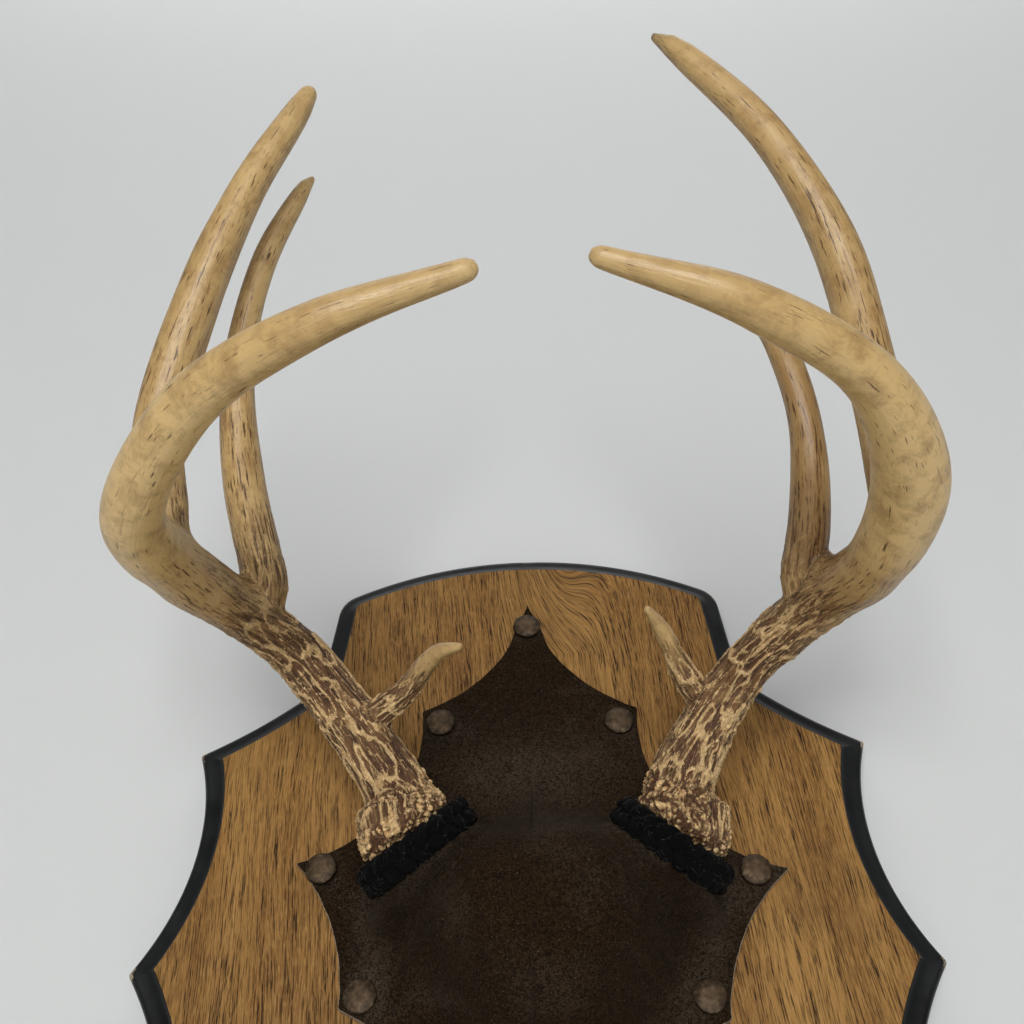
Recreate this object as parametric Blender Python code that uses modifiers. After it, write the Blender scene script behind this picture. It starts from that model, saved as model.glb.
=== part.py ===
"""An antler wall hanging: a shaped oak plaque with a routed black edge, a hand-cut suede cover held by
eight hammered nails, and two whitetail antlers that rise from it, each with a braided cord round its base.

The frame is the wall's: +Z up, +X to the viewer's right, and the hanging faces -Y. The origin is the
centre of the plaque's flat back, which lies on the wall in the plane y = 0. All lengths are in metres.
"""

import math

import bmesh
import bpy
import numpy as np
from mathutils import Vector

# Plaque
PLAQUE_WIDTH = 0.320
PLAQUE_HEIGHT = 0.368
PLAQUE_THICKNESS = 0.019
EDGE_RUN = 0.0095  # width of the routed border, seen from the front
EDGE_DROP = 0.007  # depth of the routed border below the face
EDGE_LIP = 0.0025  # radius of the rounded outer lip
EDGE_STEP = 0.001  # small square step where the border meets the face
CROWN_ROUND = 0.0072  # how far each corner's rounding reaches along its sides
SHOULDER_ROUND = 0.009
EAR_ROUND = 0.0014

# Suede cover, and the skull cap that it is stretched over
SUEDE_WIDTH = 0.2016
SUEDE_HEIGHT = 0.279
SUEDE_CENTRE = (0.0032, 0.0105)  # x and z
SUEDE_THICKNESS = 0.002
SKULL_RISE = 0.050  # how far the skull cap lifts the suede
SKULL_REACH = 0.062  # from the middle to each side
SKULL_TAPER = 0.014  # how much narrower the cap is toward its lower end
SKULL_UP = 0.052  # from the crest to the upper foot
SKULL_DOWN = 0.058  # from the crest to the lower foot
SKULL_CREST = -0.015  # height of the crest on the plaque
SKULL_FULLNESS = 2.2  # 2 is an ellipse, and more is squarer

# Antlers
BEAM_LENGTH = 0.350  # along the curve of a main beam, which all the antler's points are a percentage of
BURR_LEFT = (-0.0476, 0.0344, 0.0155)  # x, distance in front of the face, z
BURR_RIGHT = (0.0575, 0.0329, 0.0151)
BURR_AXIS = (0.572, -0.411, 0.709)  # the way the right antler leaves the skull
BURR_RADIUS = 0.0195
BURR_HEIGHT = 0.012
PEARL_RISE = 0.0016
RIDGE_DEPTH = 0.0008
PEDICLE_RADIUS = 0.0136
PEDICLE_LENGTH = 0.016

# Braided cord
BRAID_THICKNESS = 0.012
BRAID_PLAITS = 13  # bulges of the plait round one ring
PLAIT_RISE = 0.05  # share of the cord's radius

# Nails
NAIL_RADIUS = 0.00655
NAIL_RISE = 0.003
NAIL_RIM = 0.0007

# Room between pieces that touch
SEAT_GAP = 0.0003
PEDICLE_PLAY = 0.0007

# Outline of the plaque's right half, from the top middle down to the bottom tip. Each key has its x and z
# as shares of half the width and height, the bulge of the curve that follows (its rise over its chord,
# + outward) and the rounding of its own corner.
PLAQUE_KEYS = [
    (0.000, 1.000, 0.064, 0.0),
    (0.587, 0.870, 0.000, CROWN_ROUND),
    (0.620, 0.595, -0.034, SHOULDER_ROUND),
    (0.935, 0.405, -0.125, EAR_ROUND),
    (1.000, -0.120, -0.070, EAR_ROUND),
    (0.817, -0.552, -0.090, EAR_ROUND),
    (0.000, -1.000, 0.0, EAR_ROUND),
]

# Outline of the suede, clockwise from its top tip, in the same form. It is cut by hand, so its sides differ.
SUEDE_KEYS = [
    (-0.032, 1.000, -0.130, 0.0),
    (0.453, 0.571, -0.200, 0.001),
    (1.000, 0.019, -0.100, 0.001),
    (0.688, -0.395, -0.110, 0.001),
    (-0.032, -1.000, -0.110, 0.0),
    (-0.768, -0.352, -0.100, 0.001),
    (-1.000, 0.061, -0.200, 0.001),
    (-0.517, 0.571, -0.130, 0.001),
]

# One nail for each corner of the suede in the same order: its place from that corner in x and z
NAILS = {
    "nail_top": (-0.0005, -0.0140),
    "nail_upper_right": (-0.0088, -0.0075),
    "nail_ear_right": (-0.0138, -0.0010),
    "nail_lower_right": (-0.0072, 0.0083),
    "nail_bottom": (0.0000, 0.0142),
    "nail_lower_left": (0.0082, 0.0040),
    "nail_ear_left": (0.0110, -0.0030),
    "nail_upper_left": (0.0088, -0.0066),
}

# Centre lines of the antlers, from the middle of the burr: x outward, y, z and the radius, in percent of
# BEAM_LENGTH. The main beam's first radii are those above the burr.
LEFT_ANTLER = {
    "beam": [
        (0.0, 0.0, 0.0, 4.2),
        (2.0, -1.4, 5.4, 3.4),
        (11.5, -9.5, 16.2, 3.0),
        (17.0, -18.5, 17.0, 2.9),
        (21.0, -29.2, 14.6, 3.3),
        (21.4, -40.6, 11.4, 2.9),
        (12.9, -54.0, 10.7, 2.3),
        (1.6, -62.1, 10.2, 1.8),
        (-10.1, -64.4, 13.4, 0.94),
    ],
    "brow_tine": [
        (2.0, -5.4, 11.7, 2.3),
        (-0.9, -9.9, 13.4, 1.4),
        (-3.8, -14.7, 13.7, 1.0),
        (-6.5, -17.9, 12.3, 0.42),
    ],
    "second_tine": [
        (14.1, -16.7, 17.6, 2.5),
        (16.8, -27.4, 27.9, 2.3),
        (17.2, -35.7, 37.8, 1.8),
        (14.9, -41.9, 47.6, 1.4),
        (11.0, -46.0, 55.3, 0.96),
        (9.5, -46.8, 57.8, 0.26),
    ],
    "third_tine": [
        (21.9, -30.4, 16.2, 2.7),
        (23.1, -37.5, 26.1, 2.5),
        (19.2, -45.3, 38.1, 2.4),
        (14.8, -51.0, 48.2, 2.0),
        (10.2, -54.9, 55.9, 1.5),
        (8.7, -56.2, 58.6, 1.04),
    ],
}
RIGHT_ANTLER = {
    "beam": [
        (0.0, 0.0, 0.0, 4.2),
        (0.7, -2.2, 5.5, 3.4),
        (7.4, -10.0, 13.7, 2.8),
        (14.9, -20.9, 15.6, 3.1),
        (17.9, -30.6, 12.7, 3.2),
        (18.0, -42.7, 11.7, 3.4),
        (12.2, -54.8, 10.9, 2.4),
        (1.7, -62.6, 11.1, 1.8),
        (-9.7, -65.6, 13.6, 0.93),
    ],
    "brow_tine": [
        (2.3, -6.8, 11.8, 2.3),
        (0.6, -10.5, 14.8, 1.35),
        (-1.4, -14.8, 16.6, 1.0),
        (-3.2, -18.3, 16.7, 0.5),
    ],
    "second_tine": [
        (12.6, -19.1, 16.0, 2.5),
        (13.5, -27.9, 21.3, 2.2),
        (13.3, -34.2, 28.2, 1.7),
        (11.3, -38.5, 36.0, 1.5),
        (8.3, -40.4, 42.1, 0.82),
        (8.3, -41.0, 44.9, 0.25),
    ],
    "third_tine": [
        (20.7, -30.9, 14.6, 2.4),
        (18.1, -41.7, 23.6, 2.4),
        (14.4, -51.7, 34.8, 2.2),
        (8.8, -57.9, 44.8, 1.8),
        (1.1, -62.0, 53.6, 1.3),
        (-1.6, -62.7, 56.4, 0.44),
    ],
}

# Fineness of the meshes
REMESH_SIZE = 0.0014
ANTLER_FACES = 2300
SMOOTHING_PASSES = 6
TUBE_SPACING = 0.006
PLAQUE_SPACING = 0.016  # between points along the outline
SUEDE_SPACING = 0.004
SUEDE_FACES = 1200
NAIL_SIDES = 14

# Looks: colour, roughness
OAK = ((0.225, 0.115, 0.038), 0.5)
SUEDE = ((0.022, 0.013, 0.008), 0.95)
ANTLER = ((0.40, 0.27, 0.14), 0.55)
CORD = ((0.006, 0.006, 0.007), 0.9)
BRONZE = ((0.13, 0.075, 0.05), 0.4)

FACE = -PLAQUE_THICKNESS  # the plane of the plaque's front face


def clear_scene():
    for obj in list(bpy.data.objects):
        bpy.data.objects.remove(obj, do_unlink=True)


def new_collection(name):
    collection = bpy.data.collections.new(name)
    bpy.context.scene.collection.children.link(collection)
    return collection


def new_material(name, looks, metallic=0.0):
    colour, roughness = looks
    material = bpy.data.materials.new(name)
    material.use_nodes = True
    shader = material.node_tree.nodes["Principled BSDF"]
    shader.inputs["Base Color"].default_value = (*colour, 1.0)
    shader.inputs["Roughness"].default_value = roughness
    shader.inputs["Metallic"].default_value = metallic
    return material


def new_object(name, mesh, collection, material):
    obj = bpy.data.objects.new(name, mesh)
    collection.objects.link(obj)
    mesh.materials.clear()
    mesh.materials.append(material)
    mesh.shade_smooth()
    mesh.set_sharp_from_angle(angle=math.radians(40))
    return obj


def thin_out(obj, faces):
    """Brings an object down to about this many triangles, which stay closest where it curves most."""
    obj.data.calc_loop_triangles()
    thin = obj.modifiers.new("fewer_faces", "DECIMATE")
    thin.ratio = faces / len(obj.data.loop_triangles)


def make_cutter(obj, target):
    obj.hide_render = True
    obj.display_type = "WIRE"
    cut = target.modifiers.new(f"cut_{obj.name}", "BOOLEAN")
    cut.operation = "DIFFERENCE"
    cut.object = obj


def mesh_from_bmesh(name, shape):
    bmesh.ops.recalc_face_normals(shape, faces=shape.faces)
    mesh = bpy.data.meshes.new(name)
    shape.to_mesh(mesh)
    shape.free()
    return mesh


def smooth_step(value):
    value = np.clip(value, 0.0, 1.0)
    return value * value * (3.0 - 2.0 * value)


def left_of(direction):
    return np.array([-direction[1], direction[0]])


def turned(direction, angle):
    return math.cos(angle) * direction + math.sin(angle) * left_of(direction)


class Stretch:
    """A straight or arched stretch of an outline between two corners. Outward is to the left of travel."""

    def __init__(self, start, end, bulge):
        self.start, self.end, self.bulge = start, end, bulge
        self.length = float(np.linalg.norm(end - start))
        self.along = (end - start) / self.length
        self.half_angle = 2.0 * math.atan(2.0 * bulge)

    def at(self, share):
        middle = (self.start + self.end) / 2.0
        if abs(self.half_angle) < 1e-6:
            return self.start + (self.end - self.start) * share
        radius = self.length / 2.0 / math.sin(self.half_angle)
        angle = self.half_angle * (2.0 * share - 1.0)
        centre = middle + left_of(self.along) * (self.bulge * self.length - radius)
        return centre + radius * (math.sin(angle) * self.along + math.cos(angle) * left_of(self.along))

    def first_way(self):
        return turned(self.along, self.half_angle)

    def last_way(self):
        return turned(self.along, -self.half_angle)


def inset_outline(keys, inset):
    """The keys of the same outline moved inward by inset, with mitred corners."""
    corners = [np.array(key[:2]) for key in keys]
    count = len(keys)
    stretches = [Stretch(corners[i], corners[(i + 1) % count], keys[i][2]) for i in range(count)]
    moved, rounds = [], []
    for i, corner in enumerate(corners):
        arriving, leaving = stretches[i - 1].last_way(), stretches[i].first_way()
        first, second = left_of(arriving), left_of(leaving)
        moved.append(corner - inset * (first + second) / (1.0 + first @ second))
        turn = -math.atan2(arriving[0] * leaving[1] - arriving[1] * leaving[0], arriving @ leaving)
        rounding = keys[i][3]
        rounds.append(max(rounding - inset * math.tan(turn / 2.0), 0.0003) if rounding else 0.0)
    result = []
    for i, stretch in enumerate(stretches):
        start, end = moved[i], moved[(i + 1) % count]
        chord = end - start
        middle = stretch.at(0.5) - inset * left_of(stretch.along)
        rise = (middle - (start + end) / 2.0) @ left_of(chord / np.linalg.norm(chord))
        result.append((start[0], start[1], rise / np.linalg.norm(chord), rounds[i]))
    return result


def outline_points(keys, counts):
    """Points round the outline, with counts[i] steps on its i-th stretch and three on each rounded corner."""
    count = len(keys)
    corners = [np.array(key[:2]) for key in keys]
    stretches = [Stretch(corners[i], corners[(i + 1) % count], keys[i][2]) for i in range(count)]
    points = []
    for i, stretch in enumerate(stretches):
        rounding, next_rounding = keys[i][3], keys[(i + 1) % count][3]
        first, last = rounding / stretch.length, 1.0 - next_rounding / stretch.length
        if rounding:
            before = stretches[i - 1]
            a, b = before.at(1.0 - rounding / before.length), stretch.at(first)
            for share in (1 / 3, 2 / 3):
                points.append((1 - share) ** 2 * a + 2 * share * (1 - share) * corners[i] + share**2 * b)
        steps = counts[i]
        shares = np.linspace(first, last, steps + 1)
        points += [stretch.at(share) for share in (shares if next_rounding else shares[:-1])]
    return np.array(points)


def step_counts(keys, spacing):
    count = len(keys)
    chords = [math.dist(keys[i][:2], keys[(i + 1) % count][:2]) for i in range(count)]
    return [max(1, round(chord / spacing)) for chord in chords]


def plaque_outline():
    """All the keys of the plaque, clockwise from its top middle: the right half, then its mirror image."""
    half_width, half_height = PLAQUE_WIDTH / 2.0, PLAQUE_HEIGHT / 2.0
    right = [(x * half_width, z * half_height, bulge, rounding) for x, z, bulge, rounding in PLAQUE_KEYS]
    bottom = len(right) - 1
    right[bottom] = (*right[bottom][:2], right[bottom - 1][2], right[bottom][3])
    left = [(-right[i][0], right[i][1], right[i - 1][2], right[i][3]) for i in range(bottom - 1, 0, -1)]
    return right + left


def suede_outline():
    half_width, half_height = SUEDE_WIDTH / 2.0, SUEDE_HEIGHT / 2.0
    centre_x, centre_z = SUEDE_CENTRE
    return [
        (centre_x + x * half_width, centre_z + z * half_height, bulge, rounding)
        for x, z, bulge, rounding in SUEDE_KEYS
    ]


def nail_places():
    """The x and z of each nail."""
    places = {}
    for (name, (across, up)), key in zip(NAILS.items(), suede_outline()):
        places[name] = (key[0] + across, key[1] + up)
    return places


def add_ring(shape, points, heights):
    return [shape.verts.new((x, y, z)) for (x, z), y in zip(points, heights)]


def bridge(shape, first, second):
    count = len(first)
    for i in range(count):
        j = (i + 1) % count
        shape.faces.new((first[i], first[j], second[j], second[i]))


def make_plaque(collection):
    keys = plaque_outline()
    counts = step_counts(keys, PLAQUE_SPACING)
    side = FACE + EDGE_DROP
    profile = [(0.0, 0.0), (0.0, side)]
    for angle in (math.pi / 4, math.pi / 2):
        profile.append((EDGE_LIP * (1 - math.cos(angle)), side - EDGE_LIP * math.sin(angle)))
    cove_run, cove_rise = EDGE_RUN - EDGE_LIP, EDGE_DROP - EDGE_LIP - EDGE_STEP
    for angle in (math.pi / 6, math.pi / 3, math.pi / 2):
        inset = EDGE_LIP + cove_run * math.sin(angle)
        profile.append((inset, side - EDGE_LIP - cove_rise * (1 - math.cos(angle))))
    profile.append((EDGE_RUN, FACE))
    shape = bmesh.new()
    rings = []
    for inset, y in profile:
        points = outline_points(inset_outline(keys, inset), counts)
        rings.append(add_ring(shape, points, [y] * len(points)))
    for first, second in zip(rings, rings[1:]):
        bridge(shape, first, second)
    shape.faces.new(rings[0])
    shape.faces.new(rings[-1])
    return new_object("plaque", mesh_from_bmesh("plaque", shape), collection, new_material("oak", OAK))


def burr_frame(side):
    """The burr's middle, and the unit vector along which the antler leaves it. side is -1 left, +1 right."""
    x, out, z = BURR_RIGHT if side > 0 else BURR_LEFT
    axis = np.array([side * BURR_AXIS[0], BURR_AXIS[1], BURR_AXIS[2]])
    return np.array([x, FACE - out, z]), axis / np.linalg.norm(axis)


def braid_centre(side):
    middle, axis = burr_frame(side)
    return middle - axis * (BRAID_THICKNESS / 2.0 + SEAT_GAP)


def braid_radius():
    return PEDICLE_RADIUS + PEDICLE_PLAY + BRAID_THICKNESS / 2.0


def suede_rise(x, z):
    """How far the skull cap and the two pedicles lift the suede at x, z."""
    middle = (BURR_LEFT[0] + BURR_RIGHT[0]) / 2.0
    down = smooth_step(-z / 0.04)
    reach = SKULL_REACH - SKULL_TAPER * down
    length = np.where(z > SKULL_CREST, SKULL_UP, SKULL_DOWN)
    sideways, upward = np.abs((x - middle) / reach), np.abs((z - SKULL_CREST) / length)
    spread = sideways**SKULL_FULLNESS + upward**SKULL_FULLNESS
    rise = SKULL_RISE * smooth_step(1.0 - spread) ** 0.8
    for side in (-1, 1):
        _, axis = burr_frame(side)
        seat = braid_centre(side) - axis * BRAID_THICKNESS / 2.0
        across = axis[0] * (x - seat[0]) + axis[2] * (z - seat[2])
        plane = seat[1] - across / axis[1]  # y of the plane on which the braid sits
        distance = np.sqrt((x - seat[0]) ** 2 + (plane - seat[1]) ** 2 + (z - seat[2]) ** 2)
        near = smooth_step((1.6 * braid_radius() - distance) / (0.6 * braid_radius()))
        target = np.clip(FACE - plane, 0.0, SKULL_RISE)
        rise = rise + (target - rise) * near
    return rise


def make_suede(collection, cutters):
    keys = suede_outline()
    points = outline_points(keys, step_counts(keys, SUEDE_SPACING))
    back = FACE - SEAT_GAP
    shape = bmesh.new()
    bottom = add_ring(shape, points, [back] * len(points))
    rings = [bottom]
    for share in np.arange(1.0, 0.02, -2.0 * SUEDE_SPACING / SUEDE_WIDTH):
        ring = points * share
        heights = back - SUEDE_THICKNESS - suede_rise(ring[:, 0], ring[:, 1])
        rings.append(add_ring(shape, ring, heights))
    for first, second in zip(rings, rings[1:]):
        bridge(shape, first, second)
    top = shape.verts.new((0.0, back - SUEDE_THICKNESS - float(suede_rise(0.0, 0.0)), 0.0))
    last = rings[-1]
    for i in range(len(last)):
        shape.faces.new((last[i], last[(i + 1) % len(last)], top))
    shape.faces.new(bottom)
    material = new_material("suede", SUEDE)
    suede = new_object("suede_cover", mesh_from_bmesh("suede_cover", shape), collection, material)
    thin_out(suede, SUEDE_FACES)
    hole_depth = PEDICLE_LENGTH + PEDICLE_PLAY
    groove_radius = BRAID_THICKNESS / 2.0 * (1.0 + PLAIT_RISE) + SEAT_GAP
    for side, name in ((-1, "left"), (1, "right")):
        middle, axis = burr_frame(side)
        hole = cylinder(f"pedicle_hole_{name}", PEDICLE_RADIUS + PEDICLE_PLAY, hole_depth, cutters, material)
        hole.location = Vector(middle - axis * hole_depth / 2.0)
        hole.rotation_euler = Vector(axis).to_track_quat("Z", "Y").to_euler()
        groove = cord_ring(f"braid_groove_{name}", groove_radius, 0.0, cutters, material)
        place_ring(groove, side)
        for obj in (hole, groove):
            make_cutter(obj, suede)
    return suede


def cylinder(name, radius, depth, collection, material):
    shape = bmesh.new()
    bmesh.ops.create_cone(shape, cap_ends=True, segments=24, radius1=radius, radius2=radius, depth=depth)
    return new_object(name, mesh_from_bmesh(name, shape), collection, material)


def cord_ring(name, radius, plait_rise, collection, material):
    """A ring round Z of cord with this radius, and with the bulges of its plait."""
    around, across = 26, 8
    shape = bmesh.new()
    loops = []
    for i in range(around):
        angle = 2 * math.pi * i / around
        loop = []
        for j in range(across):
            turn = 2 * math.pi * j / across
            bulge = 1.0 + plait_rise * math.cos(BRAID_PLAITS * angle + 2.0 * turn)
            reach = braid_radius() + radius * bulge * math.cos(turn)
            height = radius * bulge * math.sin(turn)
            loop.append(shape.verts.new((reach * math.cos(angle), reach * math.sin(angle), height)))
        loops.append(loop)
    for first, second in zip(loops, loops[1:] + loops[:1]):
        bridge(shape, first, second)
    return new_object(name, mesh_from_bmesh(name, shape), collection, material)


def place_ring(obj, side):
    _, axis = burr_frame(side)
    obj.location = Vector(braid_centre(side))
    obj.rotation_euler = Vector(axis).to_track_quat("Z", "Y").to_euler()


def smooth_line(points):
    """Points about TUBE_SPACING apart on the smooth curve through the given ones, radii included."""
    points = np.array(points, float)
    before = 2 * points[0] - points[1]
    after = 2 * points[-1] - points[-2]
    padded = np.vstack([before, points, after])
    result = []
    for p0, p1, p2, p3 in zip(padded, padded[1:], padded[2:], padded[3:]):
        steps = max(2, round(float(np.linalg.norm(p2[:3] - p1[:3])) / TUBE_SPACING))
        for t in np.arange(steps) / steps:
            bend = (2 * p0 - 5 * p1 + 4 * p2 - p3) * t**2 + (3 * p1 - p0 - 3 * p2 + p3) * t**3
            result.append(p1 + ((p2 - p0) * t + bend) / 2.0)
    result.append(points[-1])
    return np.array(result)


def round_tip(line):
    """The same line with a few more points, which round the branch's end."""
    tip, way = line[-1], line[-1, :3] - line[-2, :3]
    way /= np.linalg.norm(way)
    ends = []
    for angle in (0.6, 1.1, 1.4):
        place = tip[:3] + way * tip[3] * math.sin(angle)
        ends.append((*place, tip[3] * math.cos(angle)))
    return np.vstack([line, ends])


def branch_line(side, points):
    """A branch of an antler as points in space with radii, from its points in percent."""
    middle, _ = burr_frame(side)
    line = round_tip(smooth_line(np.array(points) * BEAM_LENGTH / 100.0))
    line[:, 0] *= side
    line[:, :3] += middle
    return line


def tube_mesh(name, line):
    """A closed tube along the line with the line's radii."""
    curve = bpy.data.curves.new(name, "CURVE")
    curve.dimensions = "3D"
    curve.bevel_depth = 1.0
    curve.bevel_resolution = 3
    curve.use_fill_caps = True
    spline = curve.splines.new("POLY")
    spline.points.add(len(line) - 1)
    for point, (x, y, z, radius) in zip(spline.points, line):
        point.co = (x, y, z, 1.0)
        point.radius = radius
    obj = bpy.data.objects.new(name, curve)
    bpy.context.scene.collection.objects.link(obj)
    graph = bpy.context.evaluated_depsgraph_get()
    mesh = bpy.data.meshes.new_from_object(obj.evaluated_get(graph))
    bpy.data.objects.remove(obj, do_unlink=True)
    return mesh


def root_line(side):
    """The pedicle and the burr, which flares out of the beam's foot."""
    middle, axis = burr_frame(side)
    steps = [
        (-PEDICLE_LENGTH, PEDICLE_RADIUS),
        (-SEAT_GAP, PEDICLE_RADIUS),
        (SEAT_GAP, BURR_RADIUS * 0.93),
        (0.2 * BURR_HEIGHT, BURR_RADIUS),
        (0.5 * BURR_HEIGHT, BURR_RADIUS * 0.95),
        (BURR_HEIGHT, BURR_RADIUS * 0.78),
        (1.5 * BURR_HEIGHT, BURR_RADIUS * 0.62),
    ]
    return np.array([(*(middle + axis * along), radius) for along, radius in steps])


def carve(points, side, beam):
    """Moves an antler's surface points: pearls on the burr, and ridges that run up the beam and die out."""
    middle, axis = burr_frame(side)
    across = np.cross(axis, (1.0, 0.0, 0.0))
    across /= np.linalg.norm(across)
    other = np.cross(axis, across)
    offset = points - middle
    along = offset @ axis
    radial = offset - along[:, None] * axis
    distance = np.linalg.norm(radial, axis=1)
    angle = np.arctan2(radial @ other, radial @ across)
    on_burr = smooth_step((2.2 * BURR_HEIGHT - along) / BURR_HEIGHT) * smooth_step(along / SEAT_GAP / 4.0)
    on_burr *= smooth_step((1.4 * BURR_RADIUS - distance) / (0.2 * BURR_RADIUS))
    lumps = np.cos(11.0 * angle + 2.0 * np.sin(3.0 * angle))
    lumps *= np.cos(along / BURR_HEIGHT * 7.0 + 2.0 * np.sin(2.0 * angle))
    moved = points + radial / np.maximum(distance, 1e-6)[:, None] * (PEARL_RISE * on_burr * lumps)[:, None]
    centres = beam[:, :3]
    gaps = np.linalg.norm(points[:, None, :] - centres[None], axis=2)
    nearest = gaps.argmin(axis=1)
    travelled = np.concatenate([[0.0], np.cumsum(np.linalg.norm(np.diff(centres, axis=0), axis=1))])
    tangents = np.gradient(centres, axis=0)
    tangents /= np.linalg.norm(tangents, axis=1)[:, None]
    tangent = tangents[nearest]
    away = points - centres[nearest]
    away -= (away * tangent).sum(axis=1)[:, None] * tangent
    reach = np.linalg.norm(away, axis=1)
    sideways = np.cross(tangent, (1.0, 0.0, 0.0))
    sideways /= np.linalg.norm(sideways, axis=1)[:, None]
    upward = np.cross(tangent, sideways)
    turn = np.arctan2((away * upward).sum(axis=1), (away * sideways).sum(axis=1))
    share = travelled[nearest] / travelled[-1]
    fade = smooth_step((0.5 - share) / 0.3) * smooth_step((share - 0.05) / 0.04)
    fade *= smooth_step((1.6 * beam[nearest, 3] - reach) / (0.4 * beam[nearest, 3]))
    ridges = np.cos(7.0 * turn + 3.0 * np.sin(share * 25.0))
    return moved + away / np.maximum(reach, 1e-6)[:, None] * (RIDGE_DEPTH * fade * ridges)[:, None]


def make_antler(name, side, branches, collection, material):
    lines = {branch: branch_line(side, points) for branch, points in branches.items()}
    lines["root"] = root_line(side)
    shape = bmesh.new()
    for branch, line in lines.items():
        mesh = tube_mesh(branch, line)
        shape.from_mesh(mesh)
        bpy.data.meshes.remove(mesh)
    bmesh.ops.remove_doubles(shape, verts=shape.verts, dist=1e-6)
    rough = new_object(f"{name}_rough", mesh_from_bmesh(name, shape), collection, material)
    remesh = rough.modifiers.new("one_skin", "REMESH")
    remesh.mode = "VOXEL"
    remesh.voxel_size = REMESH_SIZE
    soften = rough.modifiers.new("soften", "SMOOTH")
    soften.iterations = SMOOTHING_PASSES
    graph = bpy.context.evaluated_depsgraph_get()
    mesh = bpy.data.meshes.new_from_object(rough.evaluated_get(graph))
    bpy.data.objects.remove(rough, do_unlink=True)
    points = np.empty(len(mesh.vertices) * 3, np.float32)
    mesh.vertices.foreach_get("co", points)
    carved = carve(points.reshape(-1, 3).astype(float), side, lines["beam"])
    mesh.vertices.foreach_set("co", carved.astype(np.float32).ravel())
    mesh.update()
    antler = new_object(name, mesh, collection, material)
    thin_out(antler, ANTLER_FACES)
    return antler


def nail_profile():
    """Half the section of a nail's head, from the top of the dome to the middle of its foot."""
    points = []
    for share in (0.0, 0.5, 0.85):
        points.append((NAIL_RADIUS * share, NAIL_RIM + (NAIL_RISE - NAIL_RIM) * (1.0 - share**2.4)))
    points += [(NAIL_RADIUS, NAIL_RIM), (NAIL_RADIUS, 0.0), (0.0, 0.0)]
    return points


def make_nails(collection):
    material = new_material("bronze", BRONZE, metallic=1.0)
    profile = nail_profile()
    mesh = bpy.data.meshes.new("nail")
    edges = [(i, i + 1) for i in range(len(profile) - 1)]
    mesh.from_pydata([(x, 0.0, z) for x, z in profile], edges, [])
    mesh.materials.append(material)
    for name, (x, z) in nail_places().items():
        nail = bpy.data.objects.new(name, mesh)
        collection.objects.link(nail)
        turn = nail.modifiers.new("turn", "SCREW")
        turn.steps = turn.render_steps = NAIL_SIDES
        turn.use_merge_vertices = True
        turn.merge_threshold = 0.0001
        turn.use_smooth_shade = True
        nail.location = (x, FACE - SUEDE_THICKNESS - 2 * SEAT_GAP, z)
        nail.rotation_euler = (math.pi / 2, 0.0, 0.0)


def main():
    clear_scene()
    parts = new_collection("antler_wall_hanging")
    cutters = new_collection("cutters")
    make_plaque(parts)
    make_suede(parts, cutters)
    bone = new_material("antler", ANTLER)
    cord = new_material("cord", CORD)
    for side, name, branches in ((-1, "left", LEFT_ANTLER), (1, "right", RIGHT_ANTLER)):
        make_antler(f"antler_{name}", side, branches, parts, bone)
        braid = cord_ring(f"braid_{name}", BRAID_THICKNESS / 2.0, PLAIT_RISE, parts, cord)
        place_ring(braid, side)
    make_nails(parts)


main()
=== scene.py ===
import math
from contextlib import contextmanager

import bmesh
import bpy
import numpy as np
from mathutils import Matrix, Vector
from numpy.linalg import norm


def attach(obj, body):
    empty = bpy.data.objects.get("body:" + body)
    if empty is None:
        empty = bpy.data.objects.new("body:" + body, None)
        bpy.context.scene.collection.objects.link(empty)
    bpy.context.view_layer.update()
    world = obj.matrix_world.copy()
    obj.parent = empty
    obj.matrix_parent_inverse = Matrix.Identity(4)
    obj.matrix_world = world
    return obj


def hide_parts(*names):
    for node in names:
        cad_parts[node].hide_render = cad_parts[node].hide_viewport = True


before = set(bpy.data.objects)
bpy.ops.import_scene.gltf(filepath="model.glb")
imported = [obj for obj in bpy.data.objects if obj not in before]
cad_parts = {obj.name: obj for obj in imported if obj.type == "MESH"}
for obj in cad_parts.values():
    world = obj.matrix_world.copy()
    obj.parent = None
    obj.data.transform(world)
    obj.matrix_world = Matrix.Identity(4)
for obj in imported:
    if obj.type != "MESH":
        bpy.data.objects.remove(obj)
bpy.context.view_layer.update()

# Sizes of the solids, in metres
PLAQUE_WIDTH, PLAQUE_HEIGHT, PLAQUE_THICKNESS = 0.32, 0.368, 0.019
EDGE_RUN, EDGE_DROP, EDGE_LIP, EDGE_STEP = 0.0095, 0.007, 0.0025, 0.001
SUEDE_WIDTH, SUEDE_HEIGHT, SUEDE_THICKNESS = 0.2016, 0.279, 0.002
SUEDE_CENTRE = (0.0032, 0.0105)
SKULL_RISE, SKULL_REACH, SKULL_TAPER = 0.05, 0.062, 0.014
SKULL_UP, SKULL_DOWN, SKULL_CREST, SKULL_FULLNESS = 0.052, 0.058, -0.015, 2.2
BEAM_LENGTH = 0.35
BURR_LEFT = (-0.0476, 0.0344, 0.0155)
BURR_RIGHT = (0.0575, 0.0329, 0.0151)
BURR_AXIS = (0.572, -0.411, 0.709)
BURR_RADIUS, BURR_HEIGHT = 0.0195, 0.012
PEDICLE_RADIUS, PEDICLE_LENGTH, PEDICLE_PLAY = 0.0136, 0.016, 0.0007
BRAID_THICKNESS = 0.012
NAIL_RADIUS, NAIL_RISE, NAIL_RIM = 0.00655, 0.003, 0.0007
SEAT_GAP = 0.0003
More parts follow.
